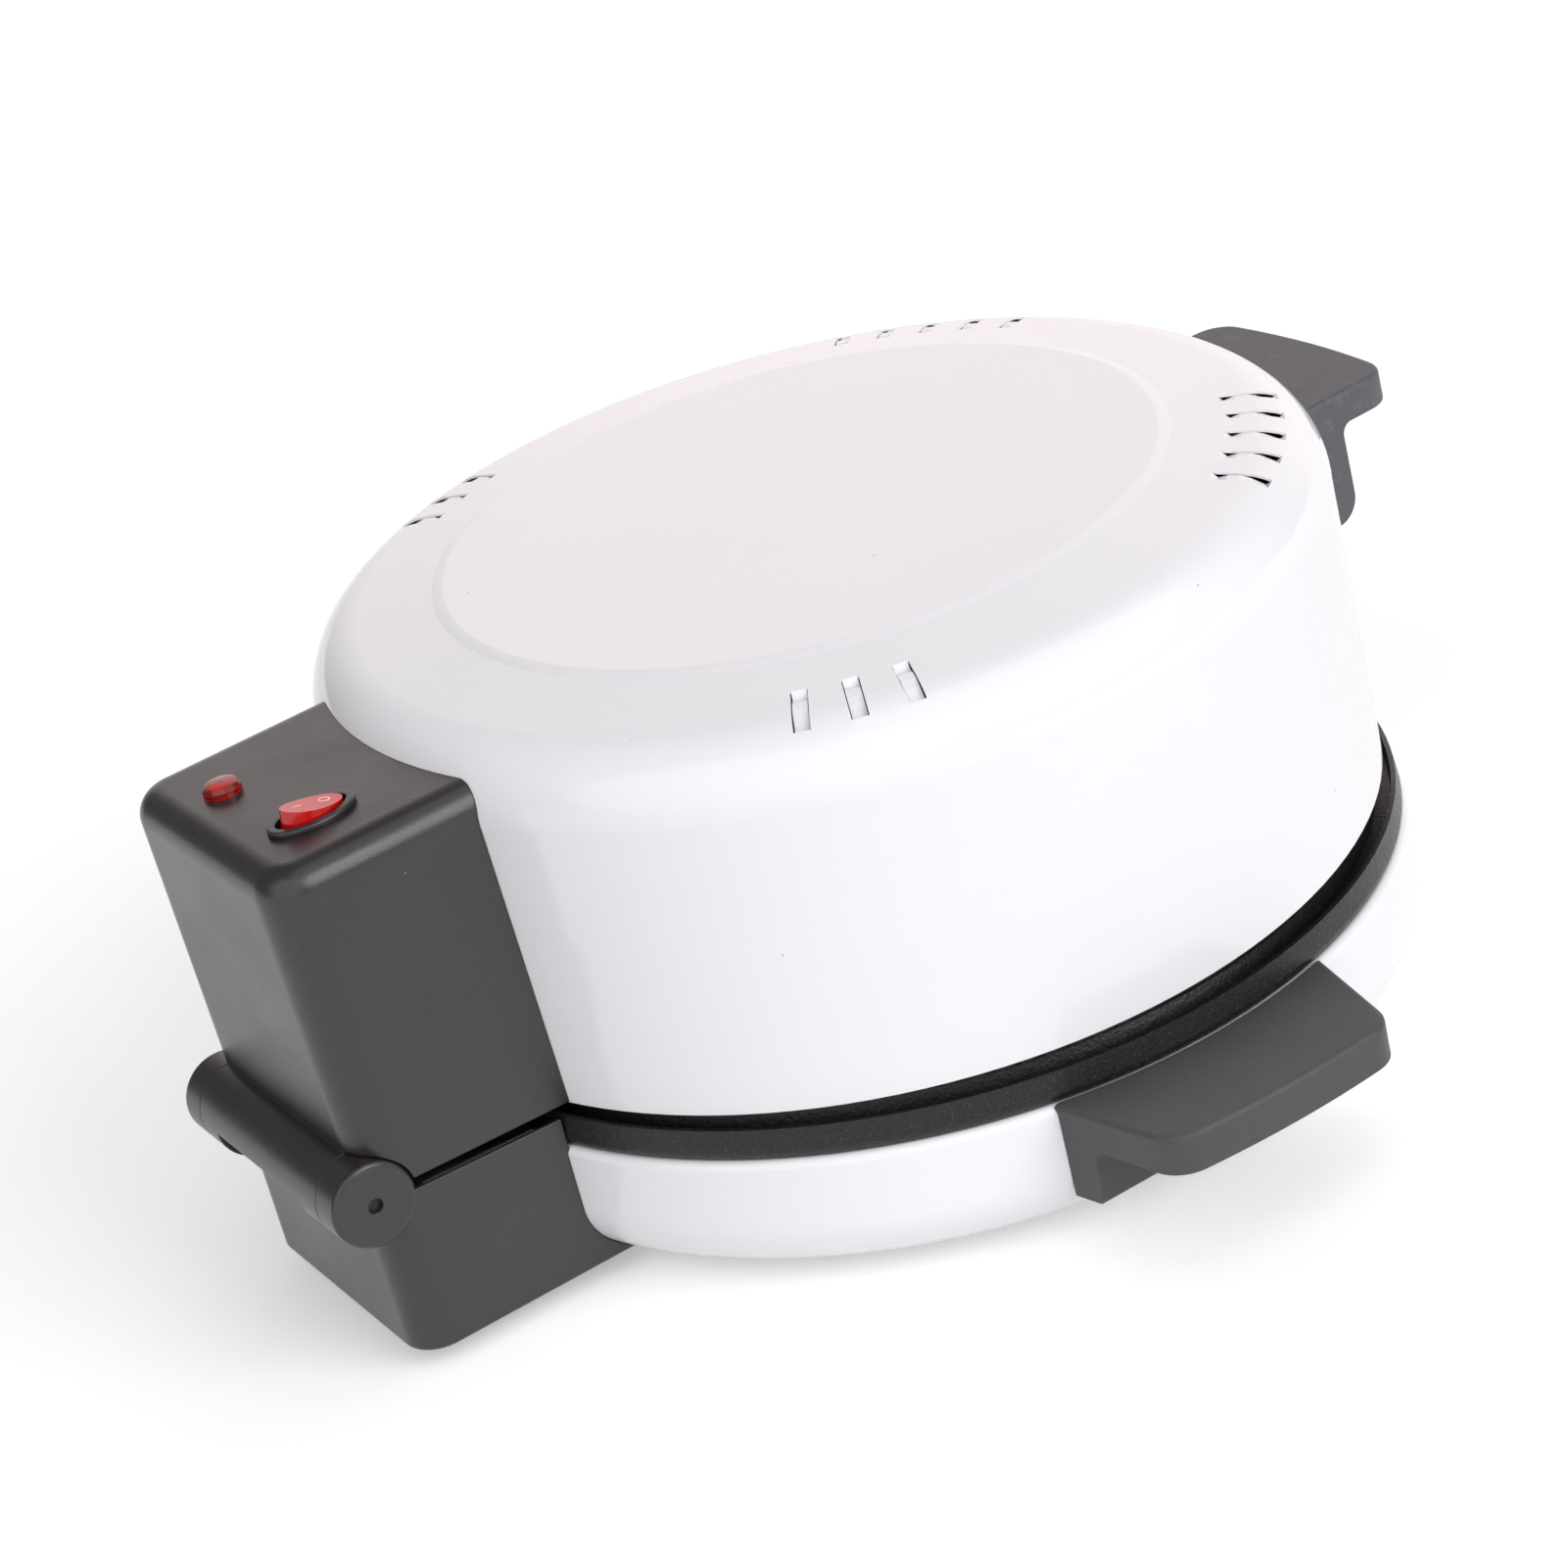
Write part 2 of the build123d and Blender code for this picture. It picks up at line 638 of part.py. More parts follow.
def handle(width, outer_width, reach, bow, plate_height, leg_width, leg_height, leg_round, top, wall,
           cutters):
    """Bowed plate with a leg down a round wall, drawn towards -Y and cut to fit what it is on."""
    edge = -(wall + reach - bow)
    half = outer_width / 2
    corner = -wall_y(wall, width / 2)
    inner = corner / 2
    inner_half = width / 2 + (width / 2 - half) * (inner - corner) / (corner - edge)
    outline = make_face([Line((-inner_half, inner), (-half, edge)),
                         ThreePointArc((-half, edge), (0, -(wall + reach)), (half, edge)),
                         Line((half, edge), (inner_half, inner)),
                         Line((inner_half, inner), (-inner_half, inner))])
    outline = fillet(outline.vertices().sort_by(Axis.Y)[:2], handle_corner)
    plate = Pos(0, 0, top - plate_height) * extrude(outline, plate_height)
    leg_face = -(wall + leg_width)
    leg = extrude(outline, leg_height) & Pos(0, leg_face, 0) * Box(
        2 * width, 2 * wall, 3 * leg_height, align=(Align.CENTER, Align.MIN, Align.CENTER))
    body = plate + Pos(0, 0, top - leg_height) * leg
    low = body.edges().filter_by(Axis.X).sort_by(Axis.Z)[:2].sort_by(Axis.Y)[:1]
    body = fillet(low, leg_round)
    under = body.faces().filter_by(Axis.Z).sort_by(Axis.Y)[0]
    inside = body.edges().filter_by(Axis.X).filter_by(lambda e: abs(e.center().Y - leg_face) < 0.01
                                                      and abs(e.center().Z - under.center().Z) < 0.01)
    body = fillet(inside, handle_blend)
    rim = body.faces().sort_by(Axis.Z)[-1].edges().filter_by(lambda e: e.center().Y < inner - 1)
    body = fillet(rim, handle_top_edge) - cutters
    height = top - leg_height * handle_screw_share
    return body - [bar(screw_radius + thread_gap, (x, inner, height),
                       (x, -(wall_y(wall, x) + handle_screw_length), height)) for x in handle_screw_offsets]


def housing_form(side_view, inset, upright_round, rim_at_top, rim_round):
    """Box from its side view (y, z); its back upright edges and one rim are rounded."""
    form = extrude(Plane.YZ * make_face(Polyline(*side_view, close=True)), housing_width / 2 - inset, both=True)
    upright = form.faces().sort_by(Axis.Y)[-1].edges().filter_by(lambda e: abs(e.tangent_at(0).X) < 0.5)
    form = fillet(upright, upright_round - inset)
    rim = form.faces().sort_by(Axis.Z)[-1 if rim_at_top else 0].edges()
    return fillet(rim.filter_by(lambda e: e.center().Y > side_view[0][0] + 1), rim_round)


def upper_housing_form(inset):
    """Outer form of the upper housing, moved inwards by inset."""
    front = hinge_reach - upper_depth
    back = hinge_reach - inset
    low = rim_height + slit - lower_top_drop + inset
    top = housing_top - inset
    slope = upper_depth * tan(radians(upper_bottom_slope))
    return housing_form([(front, low - slope), (back, low), (back, top), (front, top)], inset,
                        upper_vertical_round, True, housing_top_round - inset)


def lower_housing_form(inset, drop):
    """Outer form of the lower housing, moved inwards by inset, its top lowered by drop."""
    front = hinge_reach - lower_depth
    back = hinge_reach - inset
    low = base_bottom + lower_bottom_rise + inset
    top = rim_height - lower_top_drop - drop
    slope = lower_depth * tan(radians(lower_top_slope))
    return housing_form([(front, low), (back, low), (back, top), (front, top - slope)], inset,
                        lower_vertical_round, False, lower_bottom_round)


def hinge_bar(radius, inner, outer):
    """Cylinder on the hinge axis between two sideways places."""
    return bar(radius, (inner, hinge_reach, hinge_height), (outer, hinge_reach, hinge_height))


def housing_bosses(heights, wall):
    """Screw bosses along the housing's sides, from the wall of the lid or base."""
    start = wall_y(wall, boss_x) - boss_lead
    return [bar(boss_radius, (x, start, z), (x, start + boss_length, z))
            for x in (-boss_x, boss_x) for z in heights]


def boss_pilots(heights, wall):
    """Pilot holes of the housing's screw bosses."""
    start = wall_y(wall, boss_x) - boss_lead
    return [bar(screw_radius + thread_gap, (x, start - 1, z), (x, start + boss_lead + pilot_depth, z))
            for x in (-boss_x, boss_x) for z in heights]


def switch_post(length, width, low, high):
    """Upright oval post at the switch's place, long along Y."""
    return Pos(switch_x, switch_y, low) * extrude(Ellipse(width / 2, length / 2), high - low)


def upper_hinge_housing():
    """Black housing behind the lid: an open box with the hinge's middle knuckle."""
    outer = upper_housing_form(0)
    body = outer - upper_housing_form(housing_wall)
    seat = knuckle_radius + knuckle_gap
    body += [outer & hinge_bar(seat + housing_wall, side * (knuckle_inner - knuckle_rib), side * knuckle_outer)
             for side in (-1, 1)]
    body += [b & outer for b in housing_bosses(upper_boss_heights, lid_rim_radius)]
    reach = knuckle_inner - barrel_end_gap
    body += hinge_bar(knuckle_radius, -reach, reach)
    body -= hinge_bar(knuckle_radius - barrel_wall, -reach + barrel_end_wall, reach - barrel_end_wall)
    half = reach - barrel_ring
    body -= block((-half, hinge_reach - knuckle_radius - past, hinge_height - knuckle_radius - past),
                  (half, hinge_reach + knuckle_radius + past, hinge_height))
    body -= [hinge_bar(seat, side * reach, side * (knuckle_outer + past)) for side in (-1, 1)]
    body -= hinge_bar(hinge_pin_radius + sliding_gap, -knuckle_outer, knuckle_outer)
    body -= lid_body(-seat_gap)
    body -= boss_pilots(upper_boss_heights, lid_rim_radius)
    body -= bar(lens_stem + touch_gap, (lamp_x, lamp_y, housing_top - past), (lamp_x, lamp_y, housing_top + past))
    return body - switch_post(switch_body_length + 2 * touch_gap, switch_body_width + 2 * touch_gap,
                              housing_top - past, housing_top + past)


def lower_hinge_housing():
    """Black housing behind the base, with the hinge's end knuckles and a toe under the base's corner."""
    outer = lower_housing_form(0, 0)
    body = outer - lower_housing_form(housing_wall, lower_pocket + housing_wall)
    pocket = lower_housing_form(lower_pocket_wall, 0) - lower_housing_form(0, lower_pocket)
    for side in (-1, 1):
        lip = side * (housing_width / 2 - lower_lip_inset)
        pocket -= block((lip, hinge_reach - lower_lip_front, 0),
                        (lip - side * lower_lip, hinge_reach - lower_lip_back, rim_height))
    pocket += lower_housing_form(lower_pocket_wall, 0) - lower_housing_form(0, lower_lip_drop)
    body -= pocket
    seat = knuckle_radius + knuckle_gap
    body += outer & hinge_bar(seat + housing_wall, -knuckle_inner - knuckle_rib, knuckle_inner + knuckle_rib)
    body += [b & outer for b in housing_bosses(lower_boss_heights, base_radius)]
    for side in (-1, 1):
        knuckle = hinge_bar(knuckle_radius, side * knuckle_inner, side * knuckle_outer)
        face = knuckle.faces().sort_by(Axis.X)[-1 if side > 0 else 0]
        body += fillet(face.edges(), knuckle_edge)
    body -= hinge_bar(seat, -knuckle_inner, knuckle_inner)
    body -= hinge_bar(hinge_pin_radius + hinge_pin_grip, -knuckle_outer - past, knuckle_outer + past)
    body -= base_body(-seat_gap)
    clear = bulge_radius + 2 * seat_gap
    body -= turned([(0, rim_foot_height - past), (clear, rim_foot_height - past), (clear, ridge_top + past),
                    (0, ridge_top + past)])
    body -= boss_pilots(lower_boss_heights, base_radius)
    side_wall = housing_width / 2
    half_length = inlet_body_length / 2 + touch_gap
    half_height = inlet_body_height / 2 + touch_gap
    return body - block((side_wall - 2 * housing_wall, inlet_y - half_length, inlet_height - half_height),
                        (side_wall + housing_wall, inlet_y + half_length, inlet_height + half_height))


def hinge_pin():
    """Steel rod through all three knuckles, its ends set back in the outer holes."""
    reach = knuckle_outer - hinge_pin_recess
    return hinge_bar(hinge_pin_radius, -reach, reach)


def wall_screws(heights, wall, way, offsets, length):
    """Screws whose heads bear on the inside of a round wall and point outwards along Y."""
    return [aimed((x, way * wall_y(wall, abs(x) + screw_head_radius), z), (0, way, 0)) * screw(length)
            for x in offsets for z in heights]


def indicator_lens():
    """Red lens: short upright wall, bevel, shallow dome and a hollow stem through the housing."""
    bore = lens_stem - lens_stem_wall
    roof = lens_wall / 2
    dome_radius = lens_radius - lens_bevel_width
    dome_foot = lens_wall + lens_bevel_height
    outline = [Line((bore, -lens_stem_length), (lens_stem, -lens_stem_length)),
               Line((lens_stem, -lens_stem_length), (lens_stem, 0)), Line((lens_stem, 0), (lens_radius, 0)),
               Line((lens_radius, 0), (lens_radius, lens_wall)),
               Line((lens_radius, lens_wall), (dome_radius, dome_foot)), dome(dome_radius, lens_dome, dome_foot),
               Line((0, dome_foot + lens_dome), (0, roof)), Line((0, roof), (bore, roof)),
               Line((bore, roof), (bore, -lens_stem_length))]
    return Pos(lamp_x, lamp_y, housing_top + touch_gap) * revolve(Plane.XZ * make_face(outline), Axis.Z)


def lamp_nut_ring():
    """Spring nut that holds the lens against the inside of the housing."""
    top = housing_top - housing_wall - touch_gap
    ring = turned([(lens_stem + touch_gap, top - lamp_nut), (lamp_nut_radius, top - lamp_nut),
                   (lamp_nut_radius, top), (lens_stem + touch_gap, top)])
    return Pos(lamp_x, lamp_y, 0) * ring


def lamp_bulb():
    """Neon bulb inside the lens, with its two leads."""
    top = housing_top - bulb_drop
    low = top - bulb_length
    bulb = bar(lens_stem - lens_stem_wall - hole_gap, (lamp_x, lamp_y, low), (lamp_x, lamp_y, top))
    return bulb + [bar(lead_radius, (x, lamp_y, low - lead_length), (x, lamp_y, low))
                   for x in (lamp_x - lead_x, lamp_x + lead_x)]


def switch_body():
    """Oval bezel and the body under it, hollow for the rocker, with holes for its trunnions."""
    bezel = switch_post(bezel_length, bezel_width, housing_top + touch_gap, housing_top + bezel_height)
    whole = fillet(bezel.edges().group_by(Axis.Z)[-1], bezel_edge)
    whole += switch_post(switch_body_length, switch_body_width, housing_top - switch_body_depth,
                         housing_top + touch_gap)
    whole -= switch_post(opening_length, opening_width, pivot_height - switch_pocket_depth, housing_top + past)
    side = rocker_width / 2 + trunnion_length + hole_gap
    return whole - bar(trunnion_radius + sliding_gap, (switch_x - side, switch_y, pivot_height),
                       (switch_x + side, switch_y, pivot_height))


def switch_terminals():
    """Three flat tags under the switch."""
    top = housing_top - switch_body_depth - touch_gap
    return group(block((switch_x - terminal_sheet / 2, y - terminal_width / 2, top - terminal_length),
                       (switch_x + terminal_sheet / 2, y + terminal_width / 2, top))
                 for y in (switch_y - switch_tag_spacing, switch_y, switch_y + switch_tag_spacing))


def switch_rocker():
    """Red rocker: an oval dished on top, with trunnions; it rests front end down."""
    half = rocker_length / 2
    plan = Ellipse(rocker_width / 2, half)
    form = Pos(0, 0, -rocker_bottom) * extrude(plan, rocker_top + rocker_bottom)
    dish_radius = (half ** 2 + rocker_dish ** 2) / (2 * rocker_dish)
    dish_height = rocker_top - rocker_dish + dish_radius
    form -= bar(dish_radius, (-rocker_width, 0, dish_height), (rocker_width, 0, dish_height))
    side = rocker_width / 2 + trunnion_length
    form += bar(trunnion_radius, (-side, 0, 0), (side, 0, 0))
    return Pos(switch_x, switch_y, pivot_height) * Rot(rocker_tilt, 0, 0) * form


def base_shell():
    """Drawn base: a flange under the pan's rim, vents in the floor and holes for what is fixed to it."""
    opening = base_radius - base_top_round - base_flange_width
    shell = base_body(0) - base_body(sheet)
    shell -= Pos(0, 0, rim_foot_height) * Cylinder(opening, 2 * past)
    vent = Pos(base_vent_radius, 0, base_bottom) * Box(base_vent_length, base_vent_width, 2 * past)
    shell -= [Rot(0, 0, 360 / base_vent_count * (i + 0.5)) * vent for i in range(base_vent_count)]
    floor_holes = [(a, foot_circle, foot_stem_radius + touch_gap) for a in foot_angles.values()]
    floor_holes += [(a, pan_boss_reach, screw_radius + hole_gap) for a in pan_boss_angles]
    shell -= [Rot(0, 0, a) * bar(radius, (reach, 0, 0), (reach, 0, 2 * base_bottom))
              for a, reach, radius in floor_holes]
    shell -= through_y(screw_radius + hole_gap, (-boss_x, boss_x), lower_boss_heights)
    shell -= through_y(element_pass_radius, (-tag_x, tag_x), [lower_element_height])
    shell -= [Rot(0, 0, a) * hole for a in (-side_handle_angle, side_handle_angle)
              for hole in through_y(screw_radius + hole_gap, handle_screw_offsets, [side_screw_height], -1)]
    return shell - through_y(wire_hole_radius, [0], [base_wire_hole])


def pan_outline():
    """Half section of the pan: dish, ridge that the lid goes round, gutter and outer lip."""
    under = rim_foot_height
    dish_edge = (cooking_radius, cooking_height + dish_edge_height)
    dish_turn = (cooking_radius - dish_turn_width, cooking_height + dish_turn_height)
    dish_floor = (cooking_radius - dish_edge_width, cooking_height)
    ridge_in = (ridge_radius - ridge_round, ridge_top - ridge_round)
    ridge_out = (ridge_radius + ridge_outer, ridge_top - ridge_round)
    bulge_point = (bulge_radius, rim_height - bulge_drop)
    rim_foot = (rim_foot_radius, under)
    lip_in = lip_radius - lip_width
    corners = [(0, pan_underside), (cooking_radius - pan_under_inset, pan_underside),
               (cooking_radius + pan_under_flare, under), rim_foot]
    upper = [bulge_point, (lip_radius, lip_top), (lip_in, lip_top), (lip_in - gutter_draft, gutter_floor),
             (gutter_radius, gutter_floor), ridge_out]
    belly = (rim_foot_radius + belly_share * (bulge_radius - rim_foot_radius),
             (under + bulge_point[1]) / 2 - belly_drop)
    return [Polyline(*corners), ThreePointArc(rim_foot, belly, bulge_point), Polyline(*upper),
            ThreePointArc(ridge_out, (ridge_radius, ridge_top), ridge_in), Line(ridge_in, dish_edge),
            ThreePointArc(dish_edge, dish_turn, dish_floor),
            Polyline(dish_floor, (0, cooking_height), (0, pan_underside))]


def baking_pan():
    """Cast pan with bosses underneath for its own screws, the heater's clamps and the thermostat."""
    pan = revolve(Plane.XZ * make_face(pan_outline()), Axis.Z)
    screws = []
    for angles, radius, reach, low in ((pan_boss_angles, pan_boss_radius, pan_boss_reach,
                                        pan_underside - pan_boss_height),
                                       (clamp_angles, clamp_boss_radius, clamp_centre,
                                        lower_element_underside - touch_gap)):
        for a in angles:
            pan += Rot(0, 0, a) * bar(radius, (reach, 0, low), (reach, 0, pan_underside + pan_floor / 2))
            screws.append(Rot(0, 0, a) * bar(screw_radius + thread_gap, (reach, 0, 0),
                                             (reach, 0, cooking_height - screw_cover)))
    for x in (-bracket_screw_x, bracket_screw_x):
        pan += bar(bracket_boss_radius, (x, thermostat_y, bracket_top + touch_gap),
                   (x, thermostat_y, pan_underside + pan_floor / 2))
        screws.append(bar(screw_radius + thread_gap, (x, thermostat_y, 0),
                          (x, thermostat_y, cooking_height - screw_cover)))
    return pan - screws


screw_top = cooking_height - screw_cover - screw_tip_gap


def pan_spacers():
    """Tubes between the base's floor and the pan, each with a collar that carries the reflector."""
    low = base_bottom + sheet + touch_gap
    high = pan_underside - pan_boss_height - touch_gap
    seat = reflector_height - touch_gap
    tube = turned([(spacer_bore, low), (spacer_radius, low), (spacer_radius, seat - collar),
                   (collar_radius, seat - collar), (collar_radius, seat), (spacer_radius, seat),
                   (spacer_radius, high), (spacer_bore, high)])
    return group(Rot(0, 0, a) * Pos(pan_boss_reach, 0, 0) * tube for a in pan_boss_angles)


def pan_screws():
    """Long screws from under the base into the pan."""
    seat = base_bottom - touch_gap
    return group(Rot(0, 0, a) * Pos(pan_boss_reach, 0, seat) * screw(screw_top - seat)
                 for a in pan_boss_angles)


def lower_reflector():
    """Bright dish under the lower heater, with holes for the spacers and the thermostat."""
    low = reflector_height
    lip = low + reflector_wall_height
    outer = reflector_lip_radius
    foot = reflector_radius + reflector_flare
    dish = turned([(0, low), (foot, low), (outer, lip), (outer + reflector_lip_width, lip),
                   (outer + reflector_lip_width, lip + sheet), (outer - reflector_lean, lip + sheet),
                   (foot - reflector_lean, low + sheet), (0, low + sheet)])
    dish -= [Rot(0, 0, a) * bar(spacer_radius + touch_gap, (pan_boss_reach, 0, 0), (pan_boss_reach, 0, 2 * lip))
             for a in pan_boss_angles]
    return dish - bar(thermostat_hole, (0, thermostat_y, 0), (0, thermostat_y, 2 * lip))


clamp_top = lower_element_underside - 2 * touch_gap


def lower_clamp():
    """Strap at angle 0 that holds the lower heater up against the pan."""
    low_end = clamp_centre - clamp_boss_radius
    strap = block((low_end, -clamp_width / 2, clamp_top - clamp_sheet),
                  (low_end + clamp_length, clamp_width / 2, clamp_top))
    return strap - bar(screw_radius + hole_gap, (clamp_centre, 0, clamp_top - past),
                       (clamp_centre, 0, clamp_top + past))


def clamp_screw():
    """Screw of a clamp, at angle 0."""
    seat = clamp_top - clamp_sheet
    return Pos(clamp_centre, 0, seat) * screw(screw_top - seat)


def thermostat():
    """Bimetal disc thermostat: insulating body with two tags."""
    low = thermostat_top - thermostat_body
    body = bar(thermostat_radius, (0, thermostat_y, low), (0, thermostat_y, thermostat_top))
    return body + [block((x - terminal_sheet / 2, thermostat_y - terminal_width / 2, thermostat_low),
                         (x + terminal_sheet / 2, thermostat_y + terminal_width / 2, low))
                   for x in (-thermostat_tag_x, thermostat_tag_x)]


def thermostat_cap_piece():
    """Aluminium cap that touches the pan."""
    top = pan_underside - touch_gap
    return bar(thermostat_cap_radius, (0, thermostat_y, top - thermostat_cap), (0, thermostat_y, top))


def thermostat_bracket():
    """Strap round the thermostat's body, screwed to two bosses of the pan."""
    strap = block((-bracket_length / 2, thermostat_y - bracket_width / 2, bracket_top - bracket_sheet),
                  (bracket_length / 2, thermostat_y + bracket_width / 2, bracket_top))
    strap = fillet(strap.edges().filter_by(Axis.Z), bracket_corner)
    strap -= bar(thermostat_radius + touch_gap, (0, thermostat_y, 0), (0, thermostat_y, pan_underside))
    return strap - [bar(screw_radius + hole_gap, (x, thermostat_y, 0), (x, thermostat_y, pan_underside))
                    for x in (-bracket_screw_x, bracket_screw_x)]


def bracket_screws():
    """The bracket's screws."""
    seat = bracket_top - bracket_sheet
    return group(Pos(x, thermostat_y, seat) * screw(screw_top - seat)
                 for x in (-bracket_screw_x, bracket_screw_x))


def terminal_block():
    """Ceramic block in the lower housing, with a bore and a screw well for each of its three ways."""
    body = block((-block_length / 2, block_front, block_low),
                 (block_length / 2, block_back, block_low + block_height))
    for x in (-block_pitch, 0, block_pitch):
        body -= bar(wire_radius + block_bore_gap, (x, block_front - past, block_bore_height),
                    (x, block_back + past, block_bore_height))
        body -= bar(block_screw_radius + touch_gap, (x, block_y, block_bore_height),
                    (x, block_y, block_low + block_height + past))
    return body


def block_screws():
    """Clamping screws of the terminal block."""
    return group(bar(block_screw_radius, (x, block_y, block_bore_height + wire_radius + block_bore_gap),
                     (x, block_y, block_low + block_height - block_screw_depth))
                 for x in (-block_pitch, 0, block_pitch))


tail_x = housing_width / 2 + touch_gap - inlet_depth - blade_tail - touch_gap
lower_tag_end = lower_leg_end + terminal_bead + terminal_length + touch_gap
upper_tag_end = upper_leg_end + terminal_bead + terminal_length + touch_gap
wire_back = block_back + wire_clearance
wire_front = block_front - wire_clearance


def supply_wires():
    """Three wires from the inlet's blades to the terminal block."""
    z = block_bore_height
    low, high = blade_heights[0], blade_heights[1]
    y = inlet_y
    runs = [[(tail_x, y - blade_spacing, low), (block_pitch, y - blade_spacing, low),
             (block_pitch, y - blade_spacing, z), (block_pitch, block_front + block_entry, z)],
            [(tail_x, y, high), (0, y, high), (0, wire_back, high), (0, wire_back, z),
             (0, block_back - block_entry, z)],
            [(tail_x, y + blade_spacing, low), (-block_pitch, y + blade_spacing, low),
             (-block_pitch, wire_back, low), (-block_pitch, wire_back, z),
             (-block_pitch, block_back - block_entry, z)]]
    return group(wire(run, wire_radius, wire_bend) for run in runs)


def heater_wires():
    """Wires from the block to the lower heater, one of them by way of the thermostat."""
    z = block_bore_height
    high = lower_element_height
    passing = base_wire_hole
    tag_low = thermostat_low - touch_gap
    floor = (base_bottom + reflector_height) / 2
    near = base_radius - heater_wire_inset
    turn = wire_front - wire_step
    next_turn = turn + wire_clearance
    tag_back = lower_tag_end + wire_step
    dx = thermostat_tag_x
    runs = [[(block_pitch, block_back - block_entry, z), (block_pitch, wire_back, z),
             (block_pitch, wire_back, high), (tag_x, wire_back, high), (tag_x, lower_tag_end, high)],
            [(-dx, thermostat_y, tag_low), (-dx, thermostat_y, floor), (-dx, near, floor), (-dx, near, passing),
             (-dx, turn, passing), (-tag_x, turn, passing), (-tag_x, tag_back, passing), (-tag_x, tag_back, high),
             (-tag_x, lower_tag_end, high)],
            [(dx, thermostat_y, tag_low), (dx, thermostat_y, floor), (dx, near, floor), (dx, near, passing),
             (dx, next_turn, passing), (dx, next_turn, z), (-block_pitch, next_turn, z),
             (-block_pitch, block_front + block_entry, z)]]
    return group(wire(run, wire_radius, wire_bend) for run in runs)


def earth_wire():
    """Wire from the block's middle way to a lug on the base's floor."""
    z = block_bore_height
    near = base_radius - earth_wire_inset
    lug_y = near - earth_lug_setback
    turn = block_front - earth_wire_turn
    high = z + earth_wire_rise
    floor = base_bottom + sheet + touch_gap
    low = floor + earth_wire_turn
    run = [(0, block_front + block_entry, z), (0, turn, z), (0, turn, high), (0, near, high),
           (0, near, low), (0, lug_y, low), (0, lug_y, floor + lug / 2)]
    return wire(run, wire_radius, wire_bend) + bar(lug_radius, (0, lug_y, floor), (0, lug_y, floor + lug))


def lid_wires():
    """Wires between the switch, the lamp and the upper heater."""
    high = upper_element_height
    switch_low = housing_top - switch_body_depth - 2 * touch_gap - terminal_length
    lead_low = housing_top - bulb_drop - bulb_length - lead_length - touch_gap
    under = lead_low - wire_step
    back = switch_y + switch_tag_spacing
    near_lead = lamp_x - lead_x
    far_lead = lamp_x + lead_x
    runs = [[(switch_x, back, switch_low), (switch_x, back, high), (-tag_x, back, high),
             (-tag_x, upper_tag_end, high)],
            [(near_lead, lamp_y, lead_low), (near_lead, lamp_y, high), (near_lead, upper_tag_end, high)],
            [(far_lead, lamp_y, lead_low), (far_lead, lamp_y, under), (far_lead, switch_y, under),
             (switch_x, switch_y, under), (switch_x, switch_y, switch_low)]]
    return group(wire(run, wire_radius, wire_bend) for run in runs)


def power_inlet():
    """Appliance inlet: flange outside the wall, body inside it, and a socket with slots for three blades."""
    wall_x = housing_width / 2 + touch_gap
    half_length = inlet_flange_length / 2
    half_height = inlet_flange_height / 2
    flange = block((wall_x, inlet_y - half_length, inlet_height - half_height),
                   (wall_x + inlet_flange, inlet_y + half_length, inlet_height + half_height))
    flange = fillet(flange.edges().filter_by(Axis.X), inlet_flange_corner)
    body = block((wall_x - inlet_depth, inlet_y - inlet_body_length / 2, inlet_height - inlet_body_height / 2),
                 (wall_x, inlet_y + inlet_body_length / 2, inlet_height + inlet_body_height / 2))
    socket = block((wall_x + inlet_flange - inlet_socket_depth, inlet_y - inlet_socket_length / 2,
                    inlet_height - inlet_socket_height / 2),
                   (wall_x + inlet_flange + past, inlet_y + inlet_socket_length / 2,
                    inlet_height + inlet_socket_height / 2))
    socket = chamfer(socket.edges().filter_by(Axis.X).group_by(Axis.Z)[-1], inlet_socket_corner)
    return flange + body - socket - [blade(i, touch_gap / 2) for i in range(3)]


def blade(i, grow):
    """One of the inlet's blades, from its tip in the socket to its tail inside the housing."""
    wall_x = housing_width / 2 + touch_gap
    y = inlet_y + (i - 1) * blade_spacing
    z = blade_heights[i]
    tip = wall_x + inlet_flange - inlet_socket_depth + blade_length
    return block((wall_x - inlet_depth - blade_tail, y - blade_width / 2 - grow, z - blade_height / 2 - grow),
                 (tip, y + blade_width / 2 + grow, z + blade_height / 2 + grow))


def inlet_blades():
    """The inlet's three blades."""
    return group(blade(i, 0) for i in range(3))


def rubber_foot(angle):
    """Foot with a barbed stem through the base's floor."""
    top = base_bottom - touch_gap
    above = base_bottom + sheet + touch_gap
    outline = [(0, 0), (foot_radius - foot_edge, 0), (foot_radius, foot_edge), (foot_top_radius, top),
               (foot_stem_radius, top), (foot_stem_radius, above), (foot_barb_radius, above),
               (foot_barb_tip, above + foot_barb), (0, above + foot_barb)]
    return Rot(0, 0, angle) * Pos(foot_circle, 0, 0) * turned(outline)


def side_handle(angle):
    """Side handle, turned from -Y to its side; its top laps the base's edge up to the pan's rim."""
    under_edge = rim_foot_height - base_top_round
    clear = bulge_radius + 2 * seat_gap
    above = turned([(0, under_edge), (clear, under_edge), (clear, rim_height), (0, rim_height)])
    beside = Cylinder(base_radius + seat_gap, under_edge, align=(Align.CENTER, Align.CENTER, Align.MIN))
    form = handle(side_handle_width, side_handle_outer_width, side_handle_reach, side_handle_bow,
                  side_handle_plate, side_leg, side_leg_height, side_leg_round, side_handle_top, base_radius,
                  [base_body(-seat_gap), above, beside])
    return Rot(0, 0, angle) * form


